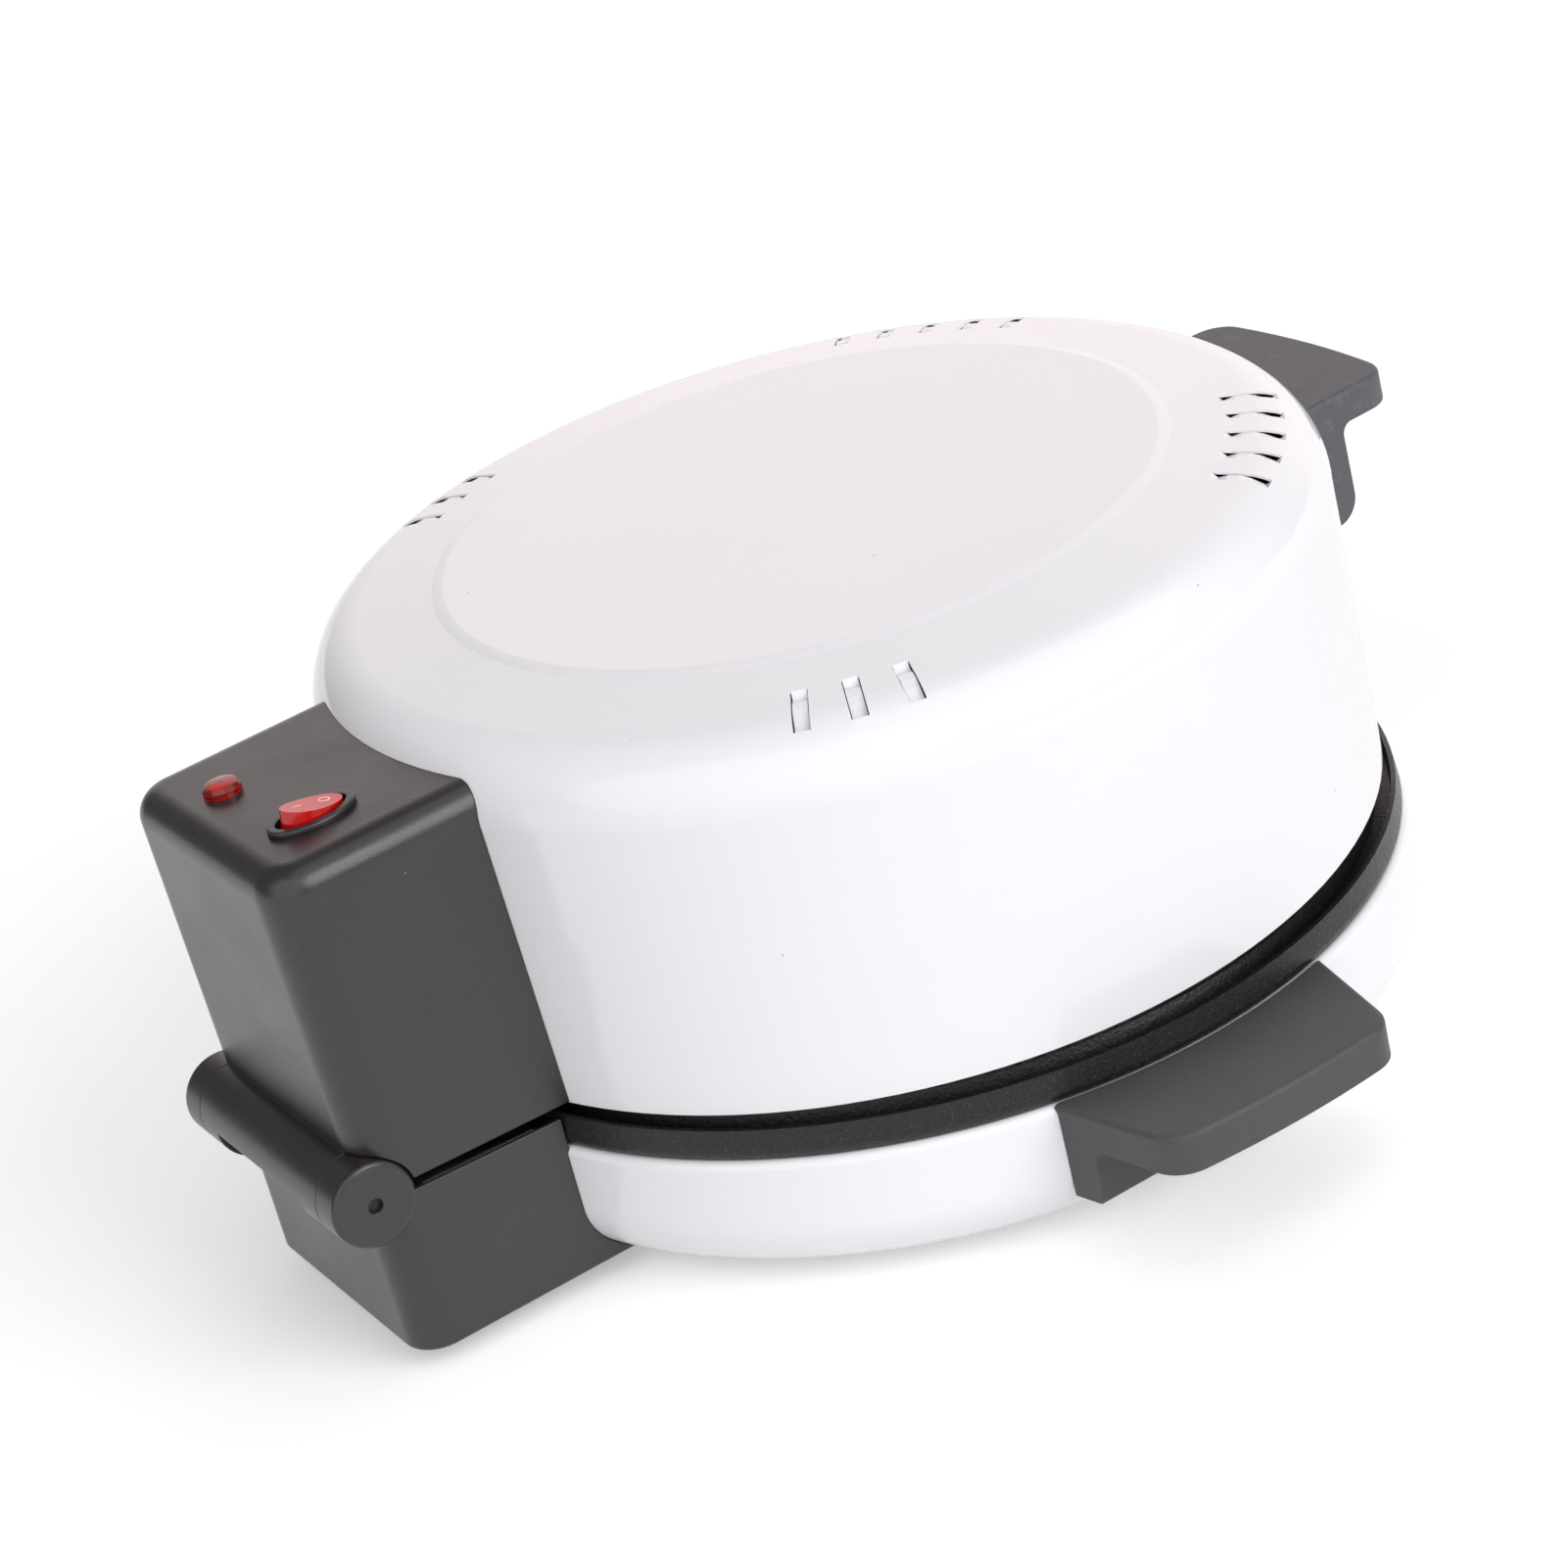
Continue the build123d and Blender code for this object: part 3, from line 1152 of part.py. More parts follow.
def side_screws():
    """Screws of both side handles, from inside the base."""
    one = wall_screws([side_screw_height], base_radius - sheet - touch_gap, -1, handle_screw_offsets,
                      handle_screw_length)
    return group(Rot(0, 0, angle) * s for angle in (-side_handle_angle, side_handle_angle) for s in one)


def back_screws(heights, wall):
    """Screws from inside the lid or base into the bosses of its housing."""
    return group(wall_screws(heights, wall - sheet - touch_gap, 1, (-boss_x, boss_x), screw_length))


lid_pieces = {
    "lid_shell": lid_shell(),
    "lid_liner": lid_liner(),
    "upper_element": element(upper_ring_radius, upper_element_height, upper_leg_end),
    "upper_element_terminals": element_terminals(upper_element_height, upper_leg_end),
    "upper_element_clips": group(Rot(0, 0, a) * element_clip() for a in clip_angles),
    "clip_rivets": group(Rot(0, 0, a) * clip_rivet() for a in clip_angles),
    "lid_handle": handle(lid_handle_width, lid_handle_outer_width, lid_handle_reach, lid_handle_bow,
                         lid_handle_plate, lid_leg, lid_leg_height, lid_leg_round, lid_handle_top,
                         lid_shoulder_radius, [lid_body(-seat_gap)]),
    "lid_handle_screws": group(wall_screws([lid_screw_height], lid_rim_radius - sheet - touch_gap, -1,
                                           handle_screw_offsets, handle_screw_length)),
    "upper_hinge_housing": upper_hinge_housing(),
    "upper_housing_screws": back_screws(upper_boss_heights, lid_rim_radius),
    "indicator_lens": indicator_lens(),
    "lamp_nut": lamp_nut_ring(),
    "lamp_bulb": lamp_bulb(),
    "switch_body": switch_body(),
    "switch_terminals": switch_terminals(),
    "lid_wires": lid_wires(),
    "switch_rocker": switch_rocker(),
}

base_pieces = {
    "base_shell": base_shell(),
    "baking_pan": baking_pan(),
    "pan_spacers": pan_spacers(),
    "pan_screws": pan_screws(),
    "lower_reflector": lower_reflector(),
    "lower_element": element(lower_ring_radius, lower_element_height, lower_leg_end),
    "lower_element_terminals": element_terminals(lower_element_height, lower_leg_end),
    "lower_element_clamps": group(Rot(0, 0, a) * lower_clamp() for a in clamp_angles),
    "clamp_screws": group(Rot(0, 0, a) * clamp_screw() for a in clamp_angles),
    "thermostat": thermostat(),
    "thermostat_cap": thermostat_cap_piece(),
    "thermostat_bracket": thermostat_bracket(),
    "bracket_screws": bracket_screws(),
    "lower_hinge_housing": lower_hinge_housing(),
    "lower_housing_screws": back_screws(lower_boss_heights, base_radius),
    "hinge_pin": hinge_pin(),
    "terminal_block": terminal_block(),
    "terminal_block_screws": block_screws(),
    "supply_wires": supply_wires(),
    "heater_wires": heater_wires(),
    "earth_wire": earth_wire(),
    "power_inlet": power_inlet(),
    "inlet_blades": inlet_blades(),
    "side_handle_left": side_handle(-side_handle_angle),
    "side_handle_right": side_handle(side_handle_angle),
    "side_handle_screws": side_screws(),
}
for corner, angle in foot_angles.items():
    base_pieces["foot_" + corner] = rubber_foot(angle)

centred = Pos(0, pan_y, 0)
opened = Pos(0, hinge_reach, hinge_height) * Rot(-lid_rest_tilt, 0, 0) * Pos(0, -hinge_reach, -hinge_height)
os.makedirs("parts", exist_ok=True)
for name, piece in base_pieces.items():
    export_step(centred * piece, f"parts/{name}.step")
for name, piece in lid_pieces.items():
    export_step(centred * opened * piece, f"parts/{name}.step")

pivot = centred * opened * Pos(switch_x, switch_y, pivot_height)
print("pan axis at y", round(pan_y, 3))
print("hinge axis at y, z", round(hinge_reach + pan_y, 3), hinge_height)
print("rocker axis at", [round(v, 3) for v in pivot.position])
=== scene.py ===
import bpy
from math import cos, pi, radians, sin, sqrt
from mathutils import Matrix, Vector


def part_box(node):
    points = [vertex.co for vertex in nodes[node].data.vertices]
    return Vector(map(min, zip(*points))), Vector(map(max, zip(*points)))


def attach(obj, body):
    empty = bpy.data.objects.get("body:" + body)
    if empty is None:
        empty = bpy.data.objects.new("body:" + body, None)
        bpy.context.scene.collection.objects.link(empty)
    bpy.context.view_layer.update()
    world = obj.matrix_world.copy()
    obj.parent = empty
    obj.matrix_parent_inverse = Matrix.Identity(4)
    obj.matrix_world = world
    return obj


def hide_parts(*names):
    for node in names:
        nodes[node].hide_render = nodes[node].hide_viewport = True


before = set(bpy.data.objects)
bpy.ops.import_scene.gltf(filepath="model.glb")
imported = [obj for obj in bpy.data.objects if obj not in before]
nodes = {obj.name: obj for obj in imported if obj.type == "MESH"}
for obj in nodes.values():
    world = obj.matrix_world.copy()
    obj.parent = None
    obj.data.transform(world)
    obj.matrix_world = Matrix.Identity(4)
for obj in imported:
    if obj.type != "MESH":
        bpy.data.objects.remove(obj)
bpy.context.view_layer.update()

# Camera: it stands behind and to the left of the pizza maker, looks down on it, and is rolled so
# that the pan's rim runs uphill across the picture. Its lens is a short telephoto.
camera_place = Vector((-1.01678, 0.52970, 0.64469))
camera_right = Vector((-0.532561, -0.816737, -0.222080))
camera_up = Vector((0.261165, -0.408151, 0.874760))
sensor_width = 36.0
focal_length = 89.549
camera = bpy.data.objects.new("camera", bpy.data.cameras.new("camera"))
camera.data.sensor_width = sensor_width
camera.data.lens = focal_length
camera_turn = Matrix((camera_right, camera_up, camera_right.cross(camera_up))).transposed()
camera.matrix_world = Matrix.Translation(camera_place) @ camera_turn.to_4x4()
bpy.context.scene.collection.objects.link(camera)
bpy.context.scene.camera = camera
bpy.context.scene.view_settings.view_transform = "Standard"


# Floor: seamless white paper, wide enough to fill every view from above. It shows as pure white to
# the eye and in reflections, and keeps the pizza maker's soft shadow. It lies a hair below the
# feet, so that the two never share a plane.
paper_colour = "#F0F0F0"
paper_glow = 0.32
floor_drop = 0.0001
floor_half = 40.0


def linear(hex_colour):
    """Linear RGBA of an sRGB hex colour."""
    parts = [int(hex_colour[i:i + 2], 16) / 255 for i in (1, 3, 5)]
    return tuple(p / 12.92 if p <= 0.04045 else ((p + 0.055) / 1.055) ** 2.4
                 for p in parts) + (1.0,)


def add(tree, kind, inputs=None, **settings):
    """Adds a node with its settings; each input takes a value, a node or a node's output."""
    node = tree.nodes.new(kind)
    for name, value in settings.items():
        setattr(node, name, value)
    for name, value in (inputs or {}).items():
        if isinstance(value, bpy.types.Node):
            value = value.outputs[0]
        if isinstance(value, bpy.types.NodeSocket):
            tree.links.new(value, node.inputs[name])
        else:
            node.inputs[name].default_value = value
    return node


def empty_material(name):
    """Node material with nothing in it, and its tree."""
    material = bpy.data.materials.new(name)
    material.use_nodes = True
    material.node_tree.nodes.clear()
    return material, material.node_tree


floor_mesh = bpy.data.meshes.new("paper_floor")
floor_mesh.from_pydata([(x * floor_half, y * floor_half, -floor_drop)
                        for x, y in ((-1, -1), (1, -1), (1, 1), (-1, 1))], [], [(0, 1, 2, 3)])
floor = bpy.data.objects.new("paper_floor", floor_mesh)
bpy.context.scene.collection.objects.link(floor)
paper, tree = empty_material("white seamless paper")
light_path = add(tree, "ShaderNodeLightPath")
seen = add(tree, "ShaderNodeMath", {0: light_path.outputs["Is Camera Ray"],
                                    1: light_path.outputs["Is Glossy Ray"]}, operation="MAXIMUM")
seen = add(tree, "ShaderNodeMath", {0: seen, 1: light_path.outputs["Is Transmission Ray"]},
           operation="MAXIMUM")
glow = add(tree, "ShaderNodeMath", {0: seen, 1: paper_glow}, operation="MULTIPLY")
matt = add(tree, "ShaderNodeBsdfDiffuse", {"Color": linear(paper_colour)})
lit = add(tree, "ShaderNodeEmission", {"Color": (1, 1, 1, 1), "Strength": glow})
surface = add(tree, "ShaderNodeAddShader", {0: matt, 1: lit})
add(tree, "ShaderNodeOutputMaterial", {"Surface": surface})
floor_mesh.materials.append(paper)


# Light: a studio with a lit white wall beyond the lid and a dimmer room elsewhere. A large softbox
# low on the left draws the soft strips along the housings' upper edges and whitens the lid's wall.
# One overhead lights the top, and one at the back left fills the side that faces the camera.
room_light = 0.22
lit_wall_light = 1.4
lit_wall_colour = "#FFF0EF"
lit_wall_side = Vector((0.75, -0.65, 0.10)).normalized()
lit_wall_edge = 0.65    # cosine of the angle from the wall's middle at which it has faded out
softboxes = [("left_softbox", (-0.81, -0.33, 0.48), 42, 1.45),
             ("overhead_softbox", (-0.42, -0.28, 0.86), 60, 0.60),
             ("back_left_softbox", (-0.55, 0.70, 0.45), 80, 1.30)]
world = bpy.data.worlds.new("studio room with one lit wall")
bpy.context.scene.world = world
world.use_nodes = True
tree = world.node_tree
tree.nodes.clear()
facing = add(tree, "ShaderNodeVectorMath", {0: add(tree, "ShaderNodeTexCoord").outputs["Object"],
                                            1: lit_wall_side}, operation="DOT_PRODUCT")
on_wall = add(tree, "ShaderNodeMapRange", {"Value": facing.outputs["Value"],
                                           "From Min": lit_wall_edge, "From Max": 1.0},
              interpolation_type="SMOOTHSTEP")
strength = add(tree, "ShaderNodeMapRange", {"Value": on_wall, "To Min": room_light,
                                            "To Max": lit_wall_light})
colour = add(tree, "ShaderNodeMix", {"Factor": on_wall, 6: (1, 1, 1, 1),
                                     7: linear(lit_wall_colour)}, data_type="RGBA")
room = add(tree, "ShaderNodeBackground", {"Color": colour.outputs[2], "Strength": strength})
add(tree, "ShaderNodeOutputWorld", {"Surface": room})
for name, side, spread, power in softboxes:
    lamp = bpy.data.lights.new(name, "SUN")
    lamp.angle = radians(spread)
    lamp.energy = power
    softbox = bpy.data.objects.new(name, lamp)
    softbox.rotation_euler = Vector(side).to_track_quat("Z", "Y").to_euler()
    bpy.context.scene.collection.objects.link(softbox)


# Lid and base: deep drawn steel sheet with white porcelain enamel fired on. The enamel is a glass,
# so its highlights are hard and clear, over a slight orange peel and slow waves. A few dust specks,
# under 1 mm across, are fired in.
cloud_size = 0.09
speck_spacing = 0.028
mottle_size = 0.02
peel_size = 0.006
wave_size = 0.045


def give(material, *names):
    """Gives CAD nodes this material."""
    for name in names:
        for slot in nodes[name].material_slots:
            slot.material = material


enamel, tree = empty_material("white porcelain enamel on drawn steel")
place = add(tree, "ShaderNodeTexCoord").outputs["Object"]
cloud = add(tree, "ShaderNodeTexNoise", {"Vector": place, "Scale": 1 / cloud_size, "Detail": 2})
tint = add(tree, "ShaderNodeMix", {"Factor": cloud, 6: linear("#EFEDF1"), 7: linear("#F2F0F4")},
           data_type="RGBA")
dust = add(tree, "ShaderNodeTexVoronoi", {"Vector": place, "Scale": 1 / speck_spacing,
                                          "Randomness": 1.0})
speck = add(tree, "ShaderNodeMapRange", {"Value": dust.outputs["Distance"], "From Min": 0.010,
                                         "From Max": 0.016, "To Min": 0.75, "To Max": 0.0})
specked = add(tree, "ShaderNodeMix", {"Factor": speck, 6: tint.outputs[2], 7: linear("#8A8684")},
              data_type="RGBA")
mottle = add(tree, "ShaderNodeTexNoise", {"Vector": place, "Scale": 1 / mottle_size, "Detail": 3})
gloss = add(tree, "ShaderNodeMapRange", {"Value": mottle, "From Min": 0.3, "From Max": 0.7,
                                         "To Min": 0.07, "To Max": 0.13})
peel = add(tree, "ShaderNodeTexNoise", {"Vector": place, "Scale": 1 / peel_size, "Detail": 2})
waves = add(tree, "ShaderNodeTexNoise", {"Vector": place, "Scale": 1 / wave_size, "Detail": 1})
small = add(tree, "ShaderNodeBump", {"Height": peel, "Distance": 0.0001, "Strength": 0.2})
large = add(tree, "ShaderNodeBump", {"Height": waves, "Distance": 0.0006, "Strength": 0.15,
                                     "Normal": small})
glaze = add(tree, "ShaderNodeBsdfPrincipled", {"Base Color": specked.outputs[2],
                                               "Roughness": gloss, "IOR": 1.52, "Normal": large})
add(tree, "ShaderNodeOutputMaterial", {"Surface": glaze})
give(enamel, "lid_shell", "base_shell")


# Hinge housings, switch body, inlet and thermostat: black polypropylene, moulded in a finely
# blasted tool. Its grain, drawn at 0.6 mm, coarser than the real one so that it shows, spreads
# highlights into satin bands. Handling has left pale scratches, shinier patches and dust.
sink_size = 0.03
scratch_size = 0.012
patch_size = 0.05
dust_spacing = 0.016
grain_size = 0.0006
moulded, tree = empty_material("black polypropylene, moulded with a fine satin grain")
place = add(tree, "ShaderNodeTexCoord").outputs["Object"]
sink = add(tree, "ShaderNodeTexNoise", {"Vector": place, "Scale": 1 / sink_size, "Detail": 2})
body = add(tree, "ShaderNodeMix", {"Factor": sink, 6: linear("#252122"), 7: linear("#2D2829")},
           data_type="RGBA")
drag = add(tree, "ShaderNodeMapping", {"Vector": place, "Rotation": (0.3, 0.5, 0.8),
                                       "Scale": (1, 12, 12)})
scratch = add(tree, "ShaderNodeTexNoise", {"Vector": drag, "Scale": 1 / scratch_size, "Detail": 3,
                                           "Roughness": 0.65})
scratched = add(tree, "ShaderNodeMapRange", {"Value": scratch, "From Min": 0.66,
                                             "From Max": 0.76})
patch = add(tree, "ShaderNodeTexNoise", {"Vector": place, "Scale": 1 / patch_size, "Detail": 2})
patchy = add(tree, "ShaderNodeMapRange", {"Value": patch, "From Min": 0.45, "From Max": 0.65,
                                          "To Min": 0.0, "To Max": 0.35})
worn = add(tree, "ShaderNodeMath", {0: scratched, 1: patchy}, operation="MULTIPLY")
rubbed = add(tree, "ShaderNodeMix", {"Factor": worn, 6: body.outputs[2], 7: linear("#8C8682")},
             data_type="RGBA")
dust = add(tree, "ShaderNodeTexVoronoi", {"Vector": place, "Scale": 1 / dust_spacing,
                                          "Randomness": 1.0})
specks = add(tree, "ShaderNodeMapRange", {"Value": dust.outputs["Distance"], "From Min": 0.012,
                                          "From Max": 0.022, "To Min": 0.45, "To Max": 0.0})
colour = add(tree, "ShaderNodeMix", {"Factor": specks, 6: rubbed.outputs[2],
                                     7: linear("#B8B2AE")}, data_type="RGBA")
rough = add(tree, "ShaderNodeMapRange", {"Value": patch, "From Min": 0.3, "From Max": 0.7,
                                         "To Min": 0.25, "To Max": 0.34})
grain = add(tree, "ShaderNodeTexNoise", {"Vector": place, "Scale": 1 / grain_size, "Detail": 2})
soft_edge = add(tree, "ShaderNodeBevel", {"Radius": 0.0006}, samples=4)
fine = add(tree, "ShaderNodeBump", {"Height": grain, "Distance": 0.00012, "Strength": 0.5,
                                    "Normal": soft_edge})
broad = add(tree, "ShaderNodeBump", {"Height": sink, "Distance": 0.0008, "Strength": 0.3,
                                     "Normal": fine})
plastic = add(tree, "ShaderNodeBsdfPrincipled", {"Base Color": colour.outputs[2],
                                                 "Roughness": rough, "IOR": 1.6,
                                                 "Normal": broad})
add(tree, "ShaderNodeOutputMaterial", {"Surface": plastic})
give(moulded, "upper_hinge_housing", "lower_hinge_housing", "switch_body", "power_inlet",
     "thermostat")


# Handles: black heat resistant plastic, moulded matt and screwed on. It is greyer than the
# housings, with chalky rubs where it has been held and packed. Towards the front the rubs are
# thickened as a painted sheen, so the lid's handle, at the very front, looks lit from behind; they
# fade in between two values of Y.
handle_sink_size = 0.02
rub_size = 0.016
rub_sheen_start_y = -0.12
rub_sheen_full_y = -0.16
grip, tree = empty_material("black heat resistant plastic, moulded matt")
place = add(tree, "ShaderNodeTexCoord").outputs["Object"]
sink = add(tree, "ShaderNodeTexNoise", {"Vector": place, "Scale": 1 / handle_sink_size,
                                        "Detail": 2})
body = add(tree, "ShaderNodeMix", {"Factor": sink, 6: linear("#413E41"), 7: linear("#4B484B")},
           data_type="RGBA")
drag = add(tree, "ShaderNodeMapping", {"Vector": place, "Rotation": (0.2, 0.9, 0.4),
                                       "Scale": (1, 3, 3)})
rub = add(tree, "ShaderNodeTexNoise", {"Vector": drag, "Scale": 1 / rub_size, "Detail": 8,
                                       "Roughness": 0.75})
rubbed = add(tree, "ShaderNodeMapRange", {"Value": rub, "From Min": 0.54, "From Max": 0.84,
                                          "To Min": 0.14, "To Max": 0.62})
forward = add(tree, "ShaderNodeSeparateXYZ", {"Vector": place}).outputs["Y"]
# Painted sheen: the pale rubs thicken towards the front, so the lid's handle looks lit from behind.
painted_front_sheen = add(tree, "ShaderNodeMapRange", {"Value": forward, "From Min": rub_sheen_start_y,
                                        "From Max": rub_sheen_full_y, "To Min": 0.10, "To Max": 1.0})
rubs_and_painted_sheen = add(tree, "ShaderNodeMath", {0: rubbed, 1: painted_front_sheen}, operation="MULTIPLY")
colour = add(tree, "ShaderNodeMix", {"Factor": rubs_and_painted_sheen, 6: body.outputs[2], 7: linear("#8B8F99")},
             data_type="RGBA")
rough = add(tree, "ShaderNodeMapRange", {"Value": rub, "From Min": 0.3, "From Max": 0.7,
                                         "To Min": 0.46, "To Max": 0.58})
grain = add(tree, "ShaderNodeTexNoise", {"Vector": place, "Scale": 1 / grain_size, "Detail": 2})
soft_edge = add(tree, "ShaderNodeBevel", {"Radius": 0.0005}, samples=4)
fine = add(tree, "ShaderNodeBump", {"Height": grain, "Distance": 0.00006, "Strength": 0.4,
                                    "Normal": soft_edge})
plastic = add(tree, "ShaderNodeBsdfPrincipled", {"Base Color": colour.outputs[2],
                                                 "Roughness": rough, "IOR": 1.5, "Normal": fine})
add(tree, "ShaderNodeOutputMaterial", {"Surface": plastic})
give(grip, "side_handle_left", "side_handle_right", "lid_handle")


# Baking pan: cast aluminium with a sprayed black non-stick coating. The spray leaves a pebbled skin
# with pale mineral specks, drawn at 0.8 mm, coarser than the real ones, so that they show.
mineral_size = 0.0008
pebble_size = 0.0012
coating, tree = empty_material("black sprayed non-stick coating on cast aluminium")
place = add(tree, "ShaderNodeTexCoord").outputs["Object"]
mineral = add(tree, "ShaderNodeTexNoise", {"Vector": place, "Scale": 1 / mineral_size,
                                           "Detail": 2, "Roughness": 0.7})
flecks = add(tree, "ShaderNodeMapRange", {"Value": mineral, "From Min": 0.56, "From Max": 0.76,
                                          "To Min": 0.0, "To Max": 0.35})
colour = add(tree, "ShaderNodeMix", {"Factor": flecks, 6: linear("#171515"),
                                     7: linear("#6A6664")}, data_type="RGBA")
pebble = add(tree, "ShaderNodeTexNoise", {"Vector": place, "Scale": 1 / pebble_size, "Detail": 3,
                                          "Roughness": 0.6})
rough = add(tree, "ShaderNodeMapRange", {"Value": pebble, "From Min": 0.3, "From Max": 0.7,
                                         "To Min": 0.28, "To Max": 0.42})
skin = add(tree, "ShaderNodeBump", {"Height": pebble, "Distance": 0.0004, "Strength": 0.5})
sprayed = add(tree, "ShaderNodeBsdfPrincipled", {"Base Color": colour.outputs[2],
                                                 "Roughness": rough, "IOR": 1.45, "Normal": skin})
add(tree, "ShaderNodeOutputMaterial", {"Surface": sprayed})
give(coating, "baking_pan")


# Lamp lens: clear red polycarbonate, moulded glossy and held by a nut inside the housing. It is
# hollow, so its wall looks deep red while its top picks up the white of the room. Flow marks from
# moulding make it slightly uneven.
lens_flow_size = 0.003
lens_red, tree = empty_material("clear red polycarbonate, moulded glossy")
place = add(tree, "ShaderNodeTexCoord").outputs["Object"]
flow = add(tree, "ShaderNodeTexNoise", {"Vector": place, "Scale": 1 / lens_flow_size,
                                        "Detail": 2})
colour = add(tree, "ShaderNodeMix", {"Factor": flow, 6: linear("#D4180F"), 7: linear("#EA2A1C")},
             data_type="RGBA")
marks = add(tree, "ShaderNodeBump", {"Height": flow, "Distance": 0.0002, "Strength": 0.05})
clear = add(tree, "ShaderNodeBsdfPrincipled", {"Base Color": colour.outputs[2],
                                               "Roughness": 0.05, "IOR": 1.58,
                                               "Transmission Weight": 0.85, "Normal": marks})
add(tree, "ShaderNodeOutputMaterial", {"Surface": clear})
give(lens_red, "indicator_lens")


# Rocker: translucent red polycarbonate, moulded glossy and more solid than the lens, so that its
# side glows bright orange red. The same kind of flow marks shows in it.
rocker_flow_size = 0.004
rocker_red, tree = empty_material("translucent red polycarbonate, moulded glossy")
place = add(tree, "ShaderNodeTexCoord").outputs["Object"]
flow = add(tree, "ShaderNodeTexNoise", {"Vector": place, "Scale": 1 / rocker_flow_size,
                                        "Detail": 2})
colour = add(tree, "ShaderNodeMix", {"Factor": flow, 6: linear("#C80C04"), 7: linear("#E4140A")},
             data_type="RGBA")
marks = add(tree, "ShaderNodeBump", {"Height": flow, "Distance": 0.0002, "Strength": 0.2})
solid_red = add(tree, "ShaderNodeBsdfPrincipled", {"Base Color": colour.outputs[2],
                                                   "Roughness": 0.10, "IOR": 1.58,
                                                   "Transmission Weight": 0.20,
                                                   "Normal": marks})
add(tree, "ShaderNodeOutputMaterial", {"Surface": solid_red})
give(rocker_red, "switch_rocker")


# Marks on the rocker: an O at its low end and an I at its high end, pad printed in white ink. The
# ink stands 0.05 mm off the dished top and follows its curve.
rocker_pivot = Vector((-0.0247, 0.18008, 0.174302))
rocker_lean = radians(11)
rocker_top = 0.0046
rocker_dish = 0.0004
rocker_half = 0.0099
ink_height = 0.00005
mark_x = 0.0006
ring_y = -0.0046
ring_radius = 0.00175
ring_line = 0.00042
ring_sides = 48
bar_y = 0.0044
bar_half_length = 0.0013
bar_half_width = 0.00022
ink_grain_size = 0.0008
dish_radius = (rocker_half ** 2 + rocker_dish ** 2) / (2 * rocker_dish)
to_rocker = Matrix.Translation(rocker_pivot) @ Matrix.Rotation(rocker_lean, 4, "X")


def on_rocker(x, y, lift):
    """Point on the rocker's dished top, lifted off it."""
    z = rocker_top - rocker_dish + dish_radius - sqrt(dish_radius ** 2 - y ** 2)
    return to_rocker @ Vector((x, y, z + lift))


ring_angles = [2 * pi * i / ring_sides for i in range(ring_sides)]
ink_points = [on_rocker(mark_x + r * cos(a), ring_y + r * sin(a), lift)
              for lift in (0, ink_height) for r in (ring_radius, ring_radius - ring_line)
              for a in ring_angles]
low_out, low_in, high_out, high_in = (range(k * ring_sides, (k + 1) * ring_sides)
                                      for k in range(4))
ink_faces = []
for i in range(ring_sides):
    j = (i + 1) % ring_sides
    ink_faces += [(low_out[i], low_in[i], low_in[j], low_out[j]),
                  (high_out[i], high_out[j], high_in[j], high_in[i]),
                  (low_out[i], low_out[j], high_out[j], high_out[i]),
                  (low_in[i], high_in[i], high_in[j], low_in[j])]
bar = [(mark_x + across * bar_half_width, bar_y + along * bar_half_length)
       for across, along in ((1, -1), (1, 1), (-1, 1), (-1, -1))]
first = len(ink_points)
ink_points += [on_rocker(x, y, lift) for lift in (0, ink_height) for x, y in bar]
ink_faces += [tuple(first + i for i in face) for face in
              [(3, 2, 1, 0), (4, 5, 6, 7), (0, 1, 5, 4), (1, 2, 6, 5), (2, 3, 7, 6), (3, 0, 4, 7)]]
marks_mesh = bpy.data.meshes.new("rocker_marks")
marks_mesh.from_pydata(ink_points, [], ink_faces)
rocker_marks = bpy.data.objects.new("rocker_marks", marks_mesh)
bpy.context.scene.collection.objects.link(rocker_marks)
ink, tree = empty_material("white pad printed ink")
place = add(tree, "ShaderNodeTexCoord").outputs["Object"]
thin = add(tree, "ShaderNodeTexNoise", {"Vector": place, "Scale": 1 / ink_grain_size,
                                        "Detail": 2})
colour = add(tree, "ShaderNodeMix", {"Factor": thin, 6: linear("#F6DAD6"), 7: linear("#FBF3F1")},
             data_type="RGBA")
printed = add(tree, "ShaderNodeBsdfPrincipled", {"Base Color": colour.outputs[2],
                                                 "Roughness": 0.35})
add(tree, "ShaderNodeOutputMaterial", {"Surface": printed})
marks_mesh.materials.append(ink)
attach(rocker_marks, "rocker")


# Hinge pin: a blackened steel rod through the knuckles and the barrel, whose end shows in the near
# knuckle's hole. It is painted a darker grey as shade, for the shade in the hole, with a fine drawn
# grain along it.
drawn_line_size = 0.0004
pin_steel_painted_shade, tree = empty_material("blackened drawn steel rod")
place = add(tree, "ShaderNodeTexCoord").outputs["Object"]
drawn = add(tree, "ShaderNodeMapping", {"Vector": place, "Scale": (0.05, 1, 1)})
lines = add(tree, "ShaderNodeTexNoise", {"Vector": drawn, "Scale": 1 / drawn_line_size,
                                         "Detail": 2})
# Painted shade: both greys are darker than the blackened steel, for the shade in the knuckle's
# hole.
colour = add(tree, "ShaderNodeMix", {"Factor": lines, 6: linear("#2A292C"),
                                     7: linear("#3A393D")}, data_type="RGBA")
rod = add(tree, "ShaderNodeBsdfPrincipled", {"Base Color": colour.outputs[2], "Metallic": 0.8,
                                             "Roughness": 0.42})
add(tree, "ShaderNodeOutputMaterial", {"Surface": rod})
give(pin_steel_painted_shade, "hinge_pin")


